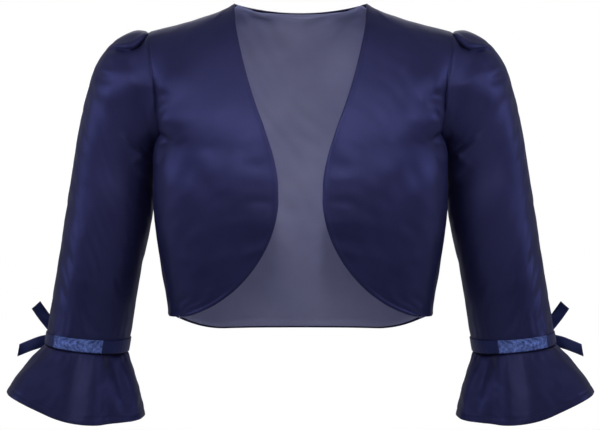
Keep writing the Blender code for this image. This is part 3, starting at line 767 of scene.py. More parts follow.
def relaxed(grid: Array, rounds: int, wraps: bool) -> Array:
    """The grid with small kinks eased out, each point drawn towards its neighbours' middle.

    Args:
        grid: rows of points.
        rounds: how many times each point is moved.
        wraps: True where the last column joins the first.

    Returns:
        The new grid, with its borders where they were.
    """
    eased = grid.copy()
    for _ in range(rounds):
        if wraps:
            sides = (np.roll(eased, 1, axis=1) + np.roll(eased, -1, axis=1))[1:-1]
            eased[1:-1] += 0.2 * (sides + eased[:-2] + eased[2:] - 4 * eased[1:-1])
        else:
            around = eased[1:-1, :-2] + eased[1:-1, 2:] + eased[:-2, 1:-1] + eased[2:, 1:-1]
            eased[1:-1, 1:-1] += 0.2 * (around - 4 * eased[1:-1, 1:-1])
    return eased


class Shell(NamedTuple):
    """A thin sheet between two grids of points."""

    outer: Array
    inner: Array
    wraps: bool


def shell_from(grid: Array, outward: Array, relief: Array, thickness: float, wraps: bool) -> Shell:
    """Sheet whose outer face is the grid raised by its relief, and whose inner face follows it.

    Args:
        grid: rows of points on the form.
        outward: unit normals of the form.
        relief: height of the outer face above the form.
        thickness: of the cloth.
        wraps: True where the last column joins the first.

    Returns:
        The sheet.
    """
    outer = grid + outward * relief[..., None]
    normal = normals_of(outer, wraps)
    normal *= np.sign((normal * outward).sum(-1, keepdims=True))
    return Shell(outer, outer - normal * thickness, wraps)


def sheet_corners(rows: int, columns: int, wraps: bool) -> tuple[Array, Array]:
    """Corners of the four-sided faces of a closed sheet, as layer, row and column.

    The outer face runs one way round and the inner face the other, and four rims, or two on a
    tube, join them.

    Args:
        rows: rows of the grid.
        columns: columns of the grid.
        wraps: True where the last column joins the first.

    Returns:
        The corners, faces by 4 by 3, and each face's part: 0 outer, 1 inner, 2 rim.
    """
    last = columns if wraps else columns - 1
    row, col = (a.ravel() for a in np.meshgrid(np.arange(rows - 1), np.arange(last), indexing="ij"))

    def face(*corners: tuple[Any, Any, Any]) -> Array:
        """Faces from four corners, each a layer, a row and a column."""
        return np.stack([np.stack(np.broadcast_arrays(*corner), axis=-1) for corner in corners], axis=1)

    parts = [
        face((0, row, col), (0, row, col + 1), (0, row + 1, col + 1), (0, row + 1, col)),
        face((1, row, col), (1, row + 1, col), (1, row + 1, col + 1), (1, row, col + 1)),
    ]
    step = np.arange(last)
    end = np.full(last, rows - 1)
    start = np.zeros(last, int)
    parts.append(face((0, start, step + 1), (0, start, step), (1, start, step), (1, start, step + 1)))
    parts.append(face((0, end, step), (0, end, step + 1), (1, end, step + 1), (1, end, step)))
    if not wraps:
        step = np.arange(rows - 1)
        left, right = np.zeros(rows - 1, int), np.full(rows - 1, columns - 1)
        parts.append(face((0, step, left), (0, step + 1, left), (1, step + 1, left), (1, step, left)))
        parts.append(face((0, step + 1, right), (0, step, right), (1, step, right), (1, step + 1, right)))
    kind = np.repeat([0, 1] + [2] * (len(parts) - 2), [len(part) for part in parts])
    return np.concatenate(parts), kind


def mesh_from(name: str, points: Array, faces: Array, uv: Optional[Array] = None) -> bpy.types.Mesh:
    """Mesh from points and faces of one size, turned so that its faces point outwards.

    Args:
        name: of the mesh.
        points: one row a vertex.
        faces: one row a face, of vertex numbers.
        uv: one row a face corner, or None.

    Returns:
        The mesh, shaded smooth.
    """
    corner = points[faces]
    middle = points.mean(0)
    normal = np.cross(corner[:, 2] - corner[:, 0], corner[:, -1] - corner[:, 1])
    volume = ((corner.mean(1) - middle) * normal).sum()
    if volume < 0:
        faces = faces[:, ::-1]
        uv = None if uv is None else uv.reshape(len(faces), -1, 2)[:, ::-1].reshape(-1, 2)
    mesh = bpy.data.meshes.new(name)
    mesh.from_pydata(points, [], faces.tolist())
    mesh.polygons.foreach_set("use_smooth", np.ones(len(faces), bool))
    if uv is not None:
        layer = mesh.uv_layers.new(name=UV_LAYER)
        layer.data.foreach_set("uv", uv.astype(np.float32).ravel())
    mesh.update()
    return mesh


def add_piece(name: str, mesh: bpy.types.Mesh, slot: str, nodes: Sequence[str] = ()) -> bpy.types.Object:
    """Object at the origin that rides on the body and stands for the named solids.

    Args:
        name: of the piece.
        mesh: its finished mesh.
        slot: the record's material slot; not used.
        nodes: solids that it replaces.

    Returns:
        The object.
    """
    piece = bpy.data.objects.new(name, mesh)
    bpy.context.scene.collection.objects.link(piece)
    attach(piece, BODY)
    if nodes:
        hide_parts(*nodes)
    triangles = sum(len(polygon.vertices) - 2 for polygon in mesh.polygons)
    log.info("%s: %d triangles", name, triangles)
    return piece


def sheet_mesh(
    name: str,
    shell: Shell,
    materials: Sequence[bpy.types.Material],
    choose: Optional[Callable[[Array], Array]] = None,
) -> bpy.types.Mesh:
    """Closed mesh of a sheet, with the cloth's own lengths in metres as its UV map.

    Args:
        name: of the mesh.
        shell: the sheet.
        materials: outer face, inner face, then any others.
        choose: gives the material number of each outer and rim face from its column.

    Returns:
        The mesh, with flat rims.
    """
    rows, columns = shell.outer.shape[:2]
    corners, kind = sheet_corners(rows, columns, shell.wraps)
    layer, row, col = corners[..., 0], corners[..., 1], corners[..., 2]
    faces = (layer * rows + row) * columns + col % columns
    lengths = lengths_of(shell.outer, shell.wraps)
    across = np.concatenate([lengths.across, lengths.width], axis=1)
    across = across - across[:, columns // 2][:, None]
    along = lengths.along.mean(1)
    uv = np.stack([across[row, col], -along[row]], axis=-1).reshape(-1, 2)
    points = np.concatenate([shell.outer.reshape(-1, 3), shell.inner.reshape(-1, 3)])
    mesh = mesh_from(name, points, faces, uv)
    number = np.where(kind == 1, 1, 0)
    if choose is not None:
        number = np.where(kind == 1, 1, choose(col.mean(1)))
    for material in materials:
        mesh.materials.append(material)
    mesh.polygons.foreach_set("material_index", number.astype(np.int32))
    mesh.polygons.foreach_set("use_smooth", kind < 2)
    mesh.update()
    return mesh


class Cut(NamedTuple):
    """Flat size of a piece of cloth before it was sewn, in metres, and the area of its outline."""

    width: float
    length: float
    area: float


def cut_of(grid: Array, wraps: bool) -> Cut:
    """Flat cut of a piece, from its widest row, its longest column and the area of its form."""
    lengths = lengths_of(grid, wraps)
    ring = np.concatenate([grid, grid[:, :1]], axis=1) if wraps else grid
    diagonals = np.cross(ring[1:, 1:] - ring[:-1, :-1], ring[1:, :-1] - ring[:-1, 1:])
    area = 0.5 * np.linalg.norm(diagonals, axis=-1).sum()
    width, length = float(lengths.width.max()), float(lengths.length.max())
    return Cut(round(width, 3), round(length, 3), round(min(area, 0.98 * width * length), 6))


class Side(Enum):
    """Which side of the wearer a piece is on."""

    LEFT = "left"
    RIGHT = "right"

    def place(self, points: Array) -> Array:
        """Points of the left side, brought to this side."""
        return points if self is Side.LEFT else points * MIRROR_X

    def shell(self, shell: Shell) -> Shell:
        """A sheet of the left side, brought to this side."""
        return Shell(self.place(shell.outer), self.place(shell.inner), shell.wraps)


def add_sheet(
    side: Side,
    name: str,
    shell: Shell,
    form: Array,
    rests_on: Sequence[str],
    materials: Sequence[bpy.types.Material],
    slot: str = "navy_satin",
    held: str = "hung",
    choose: Optional[Callable[[Array], Array]] = None,
) -> bpy.types.Object:
    """A sheet of satin on one side of the wearer, standing for the solid of its own name.

    Args:
        side: the wearer's left or right.
        name: of the solid, without its side.
        shell: the sheet on the left side.
        form: grid of points that its flat size is measured on.
        rests_on: the pieces that hold it, with {side} where one has a side of its own; formatted, and then not
            used.
        materials: outer face, inner face, then any others.
        slot: the record's material slot; passed on, and not used.
        held: how the cloth is held; not used.
        choose: gives material numbers by column, or None for the first on the whole outer face.

    Returns:
        The piece.
    """
    node = f"{name}_{side.value}"
    mesh = sheet_mesh(node, side.shell(shell), materials, choose)
    piece = add_piece(f"satin_{node}", mesh, slot, (node,))
    supports = [support.format(side=side.value) for support in rests_on]
    cut_of(form, shell.wraps)
    return piece


def srgb(code: str) -> tuple[float, float, float, float]:
    """Linear colour of an sRGB hex value such as #1c2148."""
    parts = np.array([int(code[k : k + 2], 16) / 255 for k in (1, 3, 5)])
    linear = np.where(parts <= 0.04045, parts / 12.92, ((parts + 0.055) / 1.055) ** 2.4)
    return (*(float(part) for part in linear), 1.0)


def cleared(owner: Any) -> bpy.types.NodeTree:
    """Node tree of a new material or world, emptied."""
    owner.use_nodes = True
    owner.node_tree.nodes.clear()
    return owner.node_tree


def add_node(
    tree: bpy.types.NodeTree,
    kind: str,
    settings: Optional[Mapping[Any, Any]] = None,
    links: Optional[Mapping[Any, bpy.types.NodeSocket]] = None,
) -> bpy.types.Node:
    """Add a node with its settings and its links.

    Args:
        tree: the material's node tree.
        kind: the node's type.
        settings: input values by the socket's name or number, or properties of the node.
        links: sockets of other nodes, by the name or number of the input they feed.

    Returns:
        The node.
    """
    node = tree.nodes.new(kind)
    for name, value in (settings or {}).items():
        if isinstance(name, int) or name in node.inputs:
            node.inputs[name].default_value = value
        else:
            setattr(node, name, value)
    for name, socket in (links or {}).items():
        tree.links.new(socket, node.inputs[name])
    return node


@dataclass(frozen=True)
class WovenFinish:
    """Woven cloth: a colour that drifts a little, streaks of its long floats, and a soft shine."""

    name: str
    deep: str
    light: str
    roughness: float
    specular: float = 0.5
    specular_hex: str = "#ffffff"
    drift: float = 60 * MM
    float_width: float = 1.1 * MM
    float_length: float = 14 * MM
    float_depth: float = 0.02 * MM
    crush_size: float = 9 * MM
    crush_depth: float = 0.05 * MM
    float_share: float = 0.35
    ramp: Pair = (0.45, 0.90)

    def make(self) -> bpy.types.Material:
        """Build the material on the cloth's own lengths, so the pattern follows the piece.

        Returns:
            The material.
        """
        material = bpy.data.materials.new(self.name)
        tree = cleared(material)
        lengths = add_node(tree, "ShaderNodeUVMap", {"uv_map": UV_LAYER}).outputs["UV"]

        def noise(scale: float, roughness: float, at: Any, distortion: float = 0.0) -> Any:
            """Two octaves of noise, at the coordinates of a socket."""
            settings = {"Scale": scale, "Detail": 2.0, "Roughness": roughness, "Distortion": distortion}
            return add_node(tree, "ShaderNodeTexNoise", settings, {"Vector": at}).outputs["Fac"]

        def bump(depth: float, links: Mapping[str, Any]) -> Any:
            """Normal of a relief of a real depth."""
            settings = {"Strength": 1.0, "Distance": depth}
            return add_node(tree, "ShaderNodeBump", settings, links).outputs["Normal"]

        stretch = (1 / self.float_width, 1 / self.float_length, 1.0)
        floats_at = add_node(tree, "ShaderNodeMapping", {"Scale": stretch}, {"Vector": lengths})
        floats = noise(1.0, 0.6, floats_at.outputs["Vector"])
        crush = noise(1 / self.crush_size, 0.45, lengths, 0.4)
        slow = noise(1 / self.drift, 0.5, lengths)
        adds = {"operation": "MULTIPLY_ADD", 1: self.float_share}
        mixed = add_node(tree, "ShaderNodeMath", adds, {0: floats, 2: slow})
        colour = add_node(tree, "ShaderNodeValToRGB", {}, {"Fac": mixed.outputs["Value"]})
        for stop, place, code in zip(colour.color_ramp.elements, self.ramp, (self.deep, self.light)):
            stop.position = place
            stop.color = srgb(code)
        glosses = {"To Min": self.roughness - 0.05, "To Max": self.roughness + 0.07}
        gloss = add_node(tree, "ShaderNodeMapRange", glosses, {"Value": floats})
        crushed = bump(self.crush_depth, {"Height": crush})
        shader = add_node(
            tree,
            "ShaderNodeBsdfPrincipled",
            {"IOR": 1.5, "Specular IOR Level": self.specular, "Specular Tint": srgb(self.specular_hex)},
            {
                "Base Color": colour.outputs["Color"],
                "Roughness": gloss.outputs["Result"],
                "Normal": bump(self.float_depth, {"Height": floats, "Normal": crushed}),
            },
        )
        add_node(tree, "ShaderNodeOutputMaterial", {}, {"Surface": shader.outputs["BSDF"]})
        return material


# Polyester duchess satin, woven with long floats on the face: a broad soft shine of its own blue.
# Real floats are 0.1 mm apart; they are drawn 1.1 mm apart so that they show at all.
SATIN_FACE = WovenFinish(
    "navy_duchess_satin", "#1c1c39", "#252647", 0.42, specular=0.9, specular_hex="#989cf4"
)
# The back of the same satin, where the floats do not lie: dull and a little greyer.
SATIN_REVERSE = WovenFinish("navy_satin_reverse", "#17183a", "#1d1f44", 0.75, specular=0.3)
# Taffeta lining in plain weave, pressed and soft: greyed blue with next to no shine, in slow swells.
LINING_CLOTH = WovenFinish(
    "slate_taffeta_lining",
    "#989abd",
    "#a5a6c8",
    0.62,
    specular=0.25,
    specular_hex="#c8ccff",
    float_width=0.9 * MM,
    float_length=0.9 * MM,
    float_depth=0.01 * MM,
    crush_size=26 * MM,
    crush_depth=0.25 * MM,
)
# Double-face satin ribbon drawn up on a thread, glossy on each small pucker. Its bright blue is painted
# highlight, and its colour drifts to that blue every few millimetres as painted glints.
RUCHED_RIBBON_PAINTED_HIGHLIGHT = WovenFinish(
    "ruched_ribbon_painted_highlight",
    "#15215c",
    "#86a2f0",
    0.33,
    specular=1.0,
    specular_hex="#a8b8ff",
    drift=4 * MM,
    float_width=0.8 * MM,
    float_length=5 * MM,
    crush_size=3 * MM,
    crush_depth=0.12 * MM,
)
# The same double-face ribbon left flat and tied in a bow: as dark as the jacket, and glossier.
TIED_RIBBON = WovenFinish(
    "navy_satin_ribbon",
    "#191d42",
    "#22284f",
    0.36,
    specular=0.9,
    specular_hex="#98a2ff",
    crush_size=6 * MM,
)
# Spun polyester sewing thread, matt and a shade lighter than the satin: partly the thread's own tone, partly a
# painted highlight for the light that each stitch catches.
SEWING_THREAD = WovenFinish(
    "navy_sewing_thread", "#2b2f5e", "#363b70", 0.5, crush_depth=0.0, float_depth=0.0
)


@dataclass
class Cloths:
    """The materials of the jacket, made once."""

    satin: bpy.types.Material = field(default_factory=SATIN_FACE.make)
    reverse: bpy.types.Material = field(default_factory=SATIN_REVERSE.make)
    lining: bpy.types.Material = field(default_factory=LINING_CLOTH.make)
    # ruched ribbon painted bright blue: a painted highlight with painted glints
    ruched_painted_highlight: bpy.types.Material = field(default_factory=RUCHED_RIBBON_PAINTED_HIGHLIGHT.make)
    ribbon: bpy.types.Material = field(default_factory=TIED_RIBBON.make)
    thread: bpy.types.Material = field(default_factory=SEWING_THREAD.make)


def clustered(first: float, last: float, count: int, pull: float = 0.0) -> Array:
    """Even places from first to last, drawn towards both ends by the pull."""
    t = np.linspace(0, 1, count)
    return first + (last - first) * (t - pull * np.sin(TURN * t) / TURN)


@dataclass
class Body:
    """The two fronts, the back in one piece, and the lining inside the back."""

    form: JacketForm
    cloths: Cloths
    front_columns: int = 96
    front_rows: int = 78
    shoulder_columns: int = 62
    neck_columns: int = 36
    back_rows: int = 80
    lower_rows: int = 86
    panel_wall: float = 1.6 * MM
    lining_wall: float = 1.0 * MM
    seam_sink: float = 1.3 * MM
    seam_reach: float = 1.7 * MM
    edge_roll: float = 0.45 * MM
    chest_swell: float = 4.5 * MM
    chest_swell_foot: Pair = (30 * MM, -222 * MM)
    chest_swell_slope: float = 0.85
    chest_swell_reach: float = 48 * MM
    neck_stitch_from_edge: float = 6.5 * MM
    hem_fold_above_edge: float = 9.0 * MM

    def seam_dip(self, distance: Array) -> Array:
        """Dip of the cloth where it turns into a seam: a bell curve of the distance."""
        return -self.seam_sink * bell(distance, self.seam_reach)

    def edge_turn(self, distance: Array) -> Array:
        """Roll of a turned edge: it stands a little proud, then falls away at the very edge."""
        roll = self.edge_roll * bell(distance - 2.6 * MM, 2.2 * MM)
        return roll - 0.9 * self.edge_roll * bell(distance, 1.0 * MM)

    def rows(self, upper: int) -> Array:
        """Rows from the top border, 0, by the chest, 1, to the hem, 2, closest together at all three."""
        return np.concatenate([clustered(0, 1, upper, 0.4), clustered(1, 2, self.lower_rows, 0.4)[1:]])

    def held_at_top(self, along: Array) -> Array:
        """Share of the relief that is left at a distance from the top border, where seams hold it."""
        return smooth_step(along / (5 * MM)) * 0.6 + 0.4

    def build_fronts(self) -> list[bpy.types.Object]:
        """Both fronts, satin outside and lining cloth inside.

        Returns:
            The pieces.
        """
        u = clustered(0, 1, self.front_columns, 0.55)
        grid = relaxed(self.form.front(u, self.rows(self.front_rows)), 55, False)
        outward = outward_of(grid, False, len(u) // 2, 1, -1)
        size = lengths_of(grid, False)
        from_edge = size.width - size.across
        relief = (
            fold_relief(grid[..., [0, 2]], FRONT_FOLDS)
            + unevenness(size.across, size.along, 11, 0.15 * MM, 20 * MM, 60 * MM)
            + self.seam_dip(size.across)
            + self.seam_dip(size.along)
            + self.edge_turn(from_edge)
            + self.edge_turn(size.length - size.along)
        )
        relief *= self.held_at_top(size.along)
        foot_x, foot_z = self.chest_swell_foot
        crest = foot_z + self.chest_swell_slope * (grid[..., 0] - foot_x)
        held = smooth_step(size.across / (30 * MM))
        relief += self.chest_swell * bell(grid[..., 2] - crest, self.chest_swell_reach) * held
        shell = shell_from(grid, outward, relief, self.panel_wall, False)
        cloths = (self.cloths.satin, self.cloths.lining)
        return [add_sheet(side, "front", shell, grid, ("satin_back",), cloths) for side in Side]

    def back_grid(self, u: Array, v: Array) -> Array:
        """Both halves of the back on one grid, from the left side seam to the right."""
        half = self.form.back(u, v)
        half[:, -1, 0] = 0.0
        return np.concatenate([half, half[:, -2::-1] * MIRROR_X], axis=1)

    def build_back(self) -> list[bpy.types.Object]:
        """The back, and the lining that lies inside it.

        Returns:
            The pieces.
        """
        neck = self.form.neck_column
        over_shoulder = clustered(0, neck, self.shoulder_columns, 0.35)
        u = np.concatenate([over_shoulder, np.linspace(neck, 1, self.neck_columns)[1:]])
        grid = relaxed(self.back_grid(u, self.rows(self.back_rows)), 40, False)
        outward = outward_of(grid, False, len(u), 1)
        size = lengths_of(grid, False)
        from_side = np.minimum(size.across, size.width - size.across)
        at_shoulder = smooth_step((np.abs(grid[..., 0]) - self.form.neck_half_width) / (6 * MM))
        relief = (
            fold_relief(grid[..., [0, 2]], BACK_FOLDS)
            + unevenness(size.across, size.along, 23, 0.16 * MM, 18 * MM, 70 * MM)
            + self.seam_dip(from_side)
            + self.seam_dip(size.along) * at_shoulder
            + self.edge_turn(size.along) * (1 - at_shoulder)
            + self.edge_turn(size.length - size.along)
        )
        relief *= self.held_at_top(size.along)
        shell = shell_from(grid, outward, relief, self.panel_wall, False)
        mesh = sheet_mesh("back", shell, (self.cloths.satin, self.cloths.reverse))
        back = add_piece("satin_back", mesh, "navy_satin", ("back",))
        cut_of(grid, False)
        rows, columns = slice(2, -1), slice(2, -2)
        inside = (shell.inner - outward * self.form.rest_gap)[rows, columns]
        near_neck = (size.along - self.neck_stitch_from_edge)[rows, columns]
        near_hem = (size.length - size.along - self.hem_fold_above_edge)[rows, columns]
        centre = 1 - smooth_step((np.abs(inside[..., 0]) - 60 * MM) / (25 * MM))
        reach = np.minimum(from_side, size.length - size.along)[rows, columns]
        settled = smooth_step(np.minimum(reach, size.along[rows, columns]) / (6 * MM))
        swell = 1.6 * MM + fold_relief(inside[..., [0, 2]], LINING_FOLDS)
        swell = swell + unevenness(size.across, size.along, 31, 0.35 * MM, 22 * MM, 80 * MM)[rows, columns]
        swell = np.maximum(swell, 0.2 * MM) * settled
        swell -= 0.5 * MM * bell(near_neck, 1.2 * MM) * centre * settled
        swell += 1.2 * MM * bell(near_hem, 3.2 * MM) * centre
        facing_in = -outward[rows, columns]
        resting = inside + facing_in * self.lining_wall
        lining_shell = shell_from(resting, facing_in, swell, self.lining_wall, False)
        lining_mesh = sheet_mesh("back_lining", lining_shell, (self.cloths.lining, self.cloths.lining))
        lining = add_piece("taffeta_back_lining", lining_mesh, "slate_lining", ("back_lining",))
        cut_of(inside, False)
        return [back, lining]

    def build(self) -> list[bpy.types.Object]:
        """Build and dress every piece of the body."""
        return self.build_fronts() + self.build_back()


@dataclass
class Sleeves:
    """Long sleeves in one piece, with a box pleat in the head and small gathers above the cuff."""

    form: JacketForm
    cloths: Cloths
    wall: float = 1.6 * MM
    tuck_in: float = 0.7 * MM
    rings: int = 190
    columns: int = 200
    cap_gather: float = 0.12 * MM
    cap_gather_pitch: float = 9.0 * MM
    cuff_gather: float = 0.4 * MM
    cuff_gather_length: float = 22.0 * MM
    lip_shows_over: float = 46.0 * MM
    lip_overhang: float = 4.2 * MM
    lip_reach: float = 2.3 * MM
    lip_roll: float = 0.9 * MM
    lip_shadow: float = 2.4 * MM
    cap_hollow: float = 2.4 * MM
    seam_sink: float = 1.3 * MM
    seam_reach: float = 1.9 * MM

    def lip_share(self, along: Array) -> Array:
        """How far the pleat's lip stands open, from 0 at the seam to 1 and back to 0 over the arm."""
        return smooth_step(along / (4 * MM)) * smooth_step((self.lip_shows_over - along) / (14 * MM))

    def past_lip(self, grid: Array) -> Array:
        """Distance round the arm from the pleat's folded lip, positive on the sunk side."""
        size = lengths_of(grid, True)
        from_top = np.minimum(size.across, size.width - size.across)
        at_lip = round(self.form.lip_column / 2 * self.columns)
        return from_top - from_top[:, at_lip : at_lip + 1]

    def fold_over(self, grid: Array, along: Array) -> Array:
        """The grid with the pleat's lip drawn out over the cloth below it, by a bell of the distance."""
        round_arm = unit(np.roll(grid, -1, 1) - np.roll(grid, 1, 1))
        away = np.where(np.arange(self.columns) < self.columns / 2, 1.0, -1.0)[None, :, None] * round_arm
        near_lip = bell(self.past_lip(grid), self.lip_reach)
        drawn = self.lip_overhang * self.lip_share(along)[:, None] * near_lip
        return grid + away * drawn[..., None]

    def relief(self, grid: Array, u: Array, along: Array) -> Array:
        """Height of the creases: tables for the front and back of the arm, gathers at both ends.

        Args:
            grid: points of the sleeve.
            u: columns, once round.
            along: metres from the armhole, one a row.

        Returns:
            The height at each point.
        """
        axis_y = column(SLEEVE, "axis_y", along)[:, None]
        front = smooth_step((axis_y - grid[..., 1] + 6 * MM) / (18 * MM))
        back = smooth_step((grid[..., 1] - axis_y + 6 * MM) / (18 * MM))
        flat = grid[..., [0, 2]]
        size = lengths_of(grid, True)
        total = fold_relief(flat, SLEEVE_FRONT_FOLDS) * front + fold_relief(flat, SLEEVE_BACK_FOLDS) * back
        total += unevenness(size.across, size.along, 47, 0.26 * MM, 18 * MM, 60 * MM)
        way = along[:, None]
        to_cuff = self.form.sleeve_length - way
        free = smooth_step(way / (6 * MM)) * smooth_step((to_cuff - 12.5 * MM) / (9 * MM))
        total *= free
        past = self.past_lip(grid)
        raised = self.lip_roll * bell(past + 2 * MM, 3 * MM)
        sunk = self.lip_shadow * bell(past - 3.5 * MM, 2.6 * MM)
        total += self.lip_share(way) * (raised - sunk)
        near_seam = smooth_step((past + 0.5 * MM) / (2 * MM)) * (1 - smooth_step(past / (18 * MM)))
        total -= self.cap_hollow * near_seam * bell(way - 9 * MM, 9 * MM)
        beside_pleat = smooth_step((np.abs((u[None, :] + 0.5) % 1 - 0.5) - 0.1) / 0.06)
        cap = bell(way - 4 * MM, 7 * MM) * beside_pleat * smooth_step((grid[..., 2] + 0.14) / 0.03)
        total += self.cap_gather * cap * np.sin(TURN * size.across / self.cap_gather_pitch)
        above = smooth_step((to_cuff - 12.6 * MM) / (3 * MM))
        above = above * np.exp(-np.maximum(to_cuff - 16 * MM, 0) / self.cuff_gather_length)
        turns = u[None, :]
        puffs = np.sin(TURN * (23 * turns + 0.35 * np.sin(TURN * 5 * turns)))
        puffs = 0.55 * puffs + 0.45 * np.sin(TURN * (14 * turns + 0.2))
        total += self.cuff_gather * above * puffs
        total -= self.seam_sink * bell(way, self.seam_reach)
        return total

    def build(self) -> list[bpy.types.Object]:
        """Build and dress both sleeves.

        Returns:
            The pieces.
        """
        u = np.arange(self.columns) / self.columns
        along = clustered(-self.tuck_in, self.form.sleeve_length, self.rings, 0.3)
        grid = relaxed(self.form.sleeve(u, along), 2, True)
        outward = outward_of(grid, True, 0, 0)
        relief = self.relief(grid, u, along)
        shell = shell_from(self.fold_over(grid, along), outward, relief, self.wall, True)
        cloths, supports = (self.cloths.satin, self.cloths.reverse), ("satin_front_{side}", "satin_back")
        return [add_sheet(side, "sleeve", shell, grid, supports, cloths) for side in Side]


def round_off(mesh: bpy.types.Mesh, axes: str, weld: float = 0.0) -> None:
    """Turn a small closed mesh's faces outwards, shade it smooth and map it along two of its axes.

    Args:
        mesh: the mesh, changed in place.
        axes: the two axes that give its UV map.
        weld: vertices nearer than this are joined.
    """
    shape = bmesh.new()
    shape.from_mesh(mesh)
    if weld:
        bmesh.ops.remove_doubles(shape, verts=shape.verts, dist=weld)
    bmesh.ops.recalc_face_normals(shape, faces=shape.faces)
    layer = shape.loops.layers.uv.new(UV_LAYER)
    for face in shape.faces:
        face.smooth = True
        for loop in face.loops:
            loop[layer].uv = [getattr(loop.vert.co, axis) for axis in axes]
    shape.to_mesh(mesh)
    shape.free()


@dataclass
class Stitches:
    """A row of short stitches, each a small spindle of thread laid along a line."""

    pitch: float = 3.0 * MM
    length: float = 2.1 * MM
    radius: float = 0.22 * MM
    sides: int = 6
    rings: tuple[float, ...] = (-0.8, 0.0, 0.8)
    half_step: float = 0.4 * MM

    def mesh_along(self, name: str, line: Array, outward: Array) -> bpy.types.Mesh:
        """All the stitches of one row, which goes right round a hem, as one mesh.

        A spindle's radius is the square root of one less the fourth power of the way from its
        middle, and it is repeated at even distances along the line.

        Args:
            name: of the mesh.
            line: points that the row follows.
            outward: unit normals of the cloth there.

        Returns:
            The mesh.
        """
        line, outward = (np.concatenate([a, a[:1]]) for a in (line, outward))
        run = np.concatenate([[0], np.cumsum(np.linalg.norm(np.diff(line, axis=0), axis=1))])
        count = max(2, int(run[-1] / self.pitch))
        at = (np.arange(count) + 0.5) * run[-1] / count

        def along_line(values: Array, places: Array) -> Array:
            """Values of a row of points at distances along the line."""
            return np.stack([np.interp(places, run, values[:, k]) for k in range(3)], axis=-1)

        middle, up = along_line(line, at), along_line(outward, at)
        ahead = unit(along_line(line, at + self.half_step) - along_line(line, at - self.half_step))
        across = np.cross(up, ahead)
        way = np.array(self.rings)
        angle = np.arange(self.sides) * TURN / self.sides
        radius = self.radius * np.sqrt(1 - way**4)
        ring = stack(
            way[:, None] * self.length / 2,
            radius[:, None] * np.cos(angle),
            radius[:, None] * np.sin(angle),
        ).reshape(-1, 3)
        tips = np.array([[-self.length / 2, 0, 0], [self.length / 2, 0, 0]])
        spindle = np.concatenate([ring, tips])
        axes = np.stack([ahead, across, up], axis=1)
        points = middle[:, None] + np.einsum("pk,nkc->npc", spindle, axes)
        one = np.arange(self.sides)
        after = (one + 1) % self.sides
        first, last = len(ring), len(ring) + 1
        top = last - 1 - self.sides
        caps = (
            np.stack([np.full_like(one, first), after, one], axis=1),
            np.stack([np.full_like(one, last), top + one, top + after], axis=1),
        )
        shift = np.arange(count)[:, None, None] * len(spindle)
        faces = []
        for one_spindle in (tube_faces(len(way), self.sides), np.concatenate(caps)):
            faces += (one_spindle[None] + shift).reshape(-1, one_spindle.shape[1]).tolist()
        mesh = bpy.data.meshes.new(name)
        mesh.from_pydata(points.reshape(-1, 3), [], faces)
        round_off(mesh, "xz")
        return mesh


class StripRow(NamedTuple):
    """Middle line of a free ribbon end: thousandths of its length, place and half its width."""

    along: float
    x: float
    y: float
    z: float
    half_width: float


@dataclass(frozen=True)
class RibbonEnd:
    """One free end of the tied ribbon."""

    rows: tuple[StripRow, ...]
    slant: float
    fold: float

    def line(self, at: Array) -> tuple[Array, Array]:
        """Middle line and half width at shares of the length, on smooth curves through the rows."""
        points = stack(*(column(self.rows, name, at) for name in "xyz"))
        return points, column(self.rows, "half_width", at)


RIBBON_ENDS = {
    "upper": RibbonEnd(
        (
            StripRow(0, 263.2, 58.3, -341.7, 4.2),
            StripRow(300, 266.2, 60.5, -336.0, 5.8),
            StripRow(650, 273.0, 60.0, -326.5, 6.1),
            StripRow(1000, 279.8, 57.5, -316.2, 6.1),
        ),
        1.0 * MM,
        1.0 * MM,
    ),
    "lower": RibbonEnd(
        (
            StripRow(0, 263.7, 58.4, -351.15, 4.4),
            StripRow(300, 274.6, 61.5, -355.2, 6.0),
            StripRow(650, 286.3, 61.5, -359.4, 5.8),
            StripRow(1000, 298.9, 60.0, -364.4, 5.7),
        ),
        -3.5 * MM,
        0.8 * MM,
    ),
}


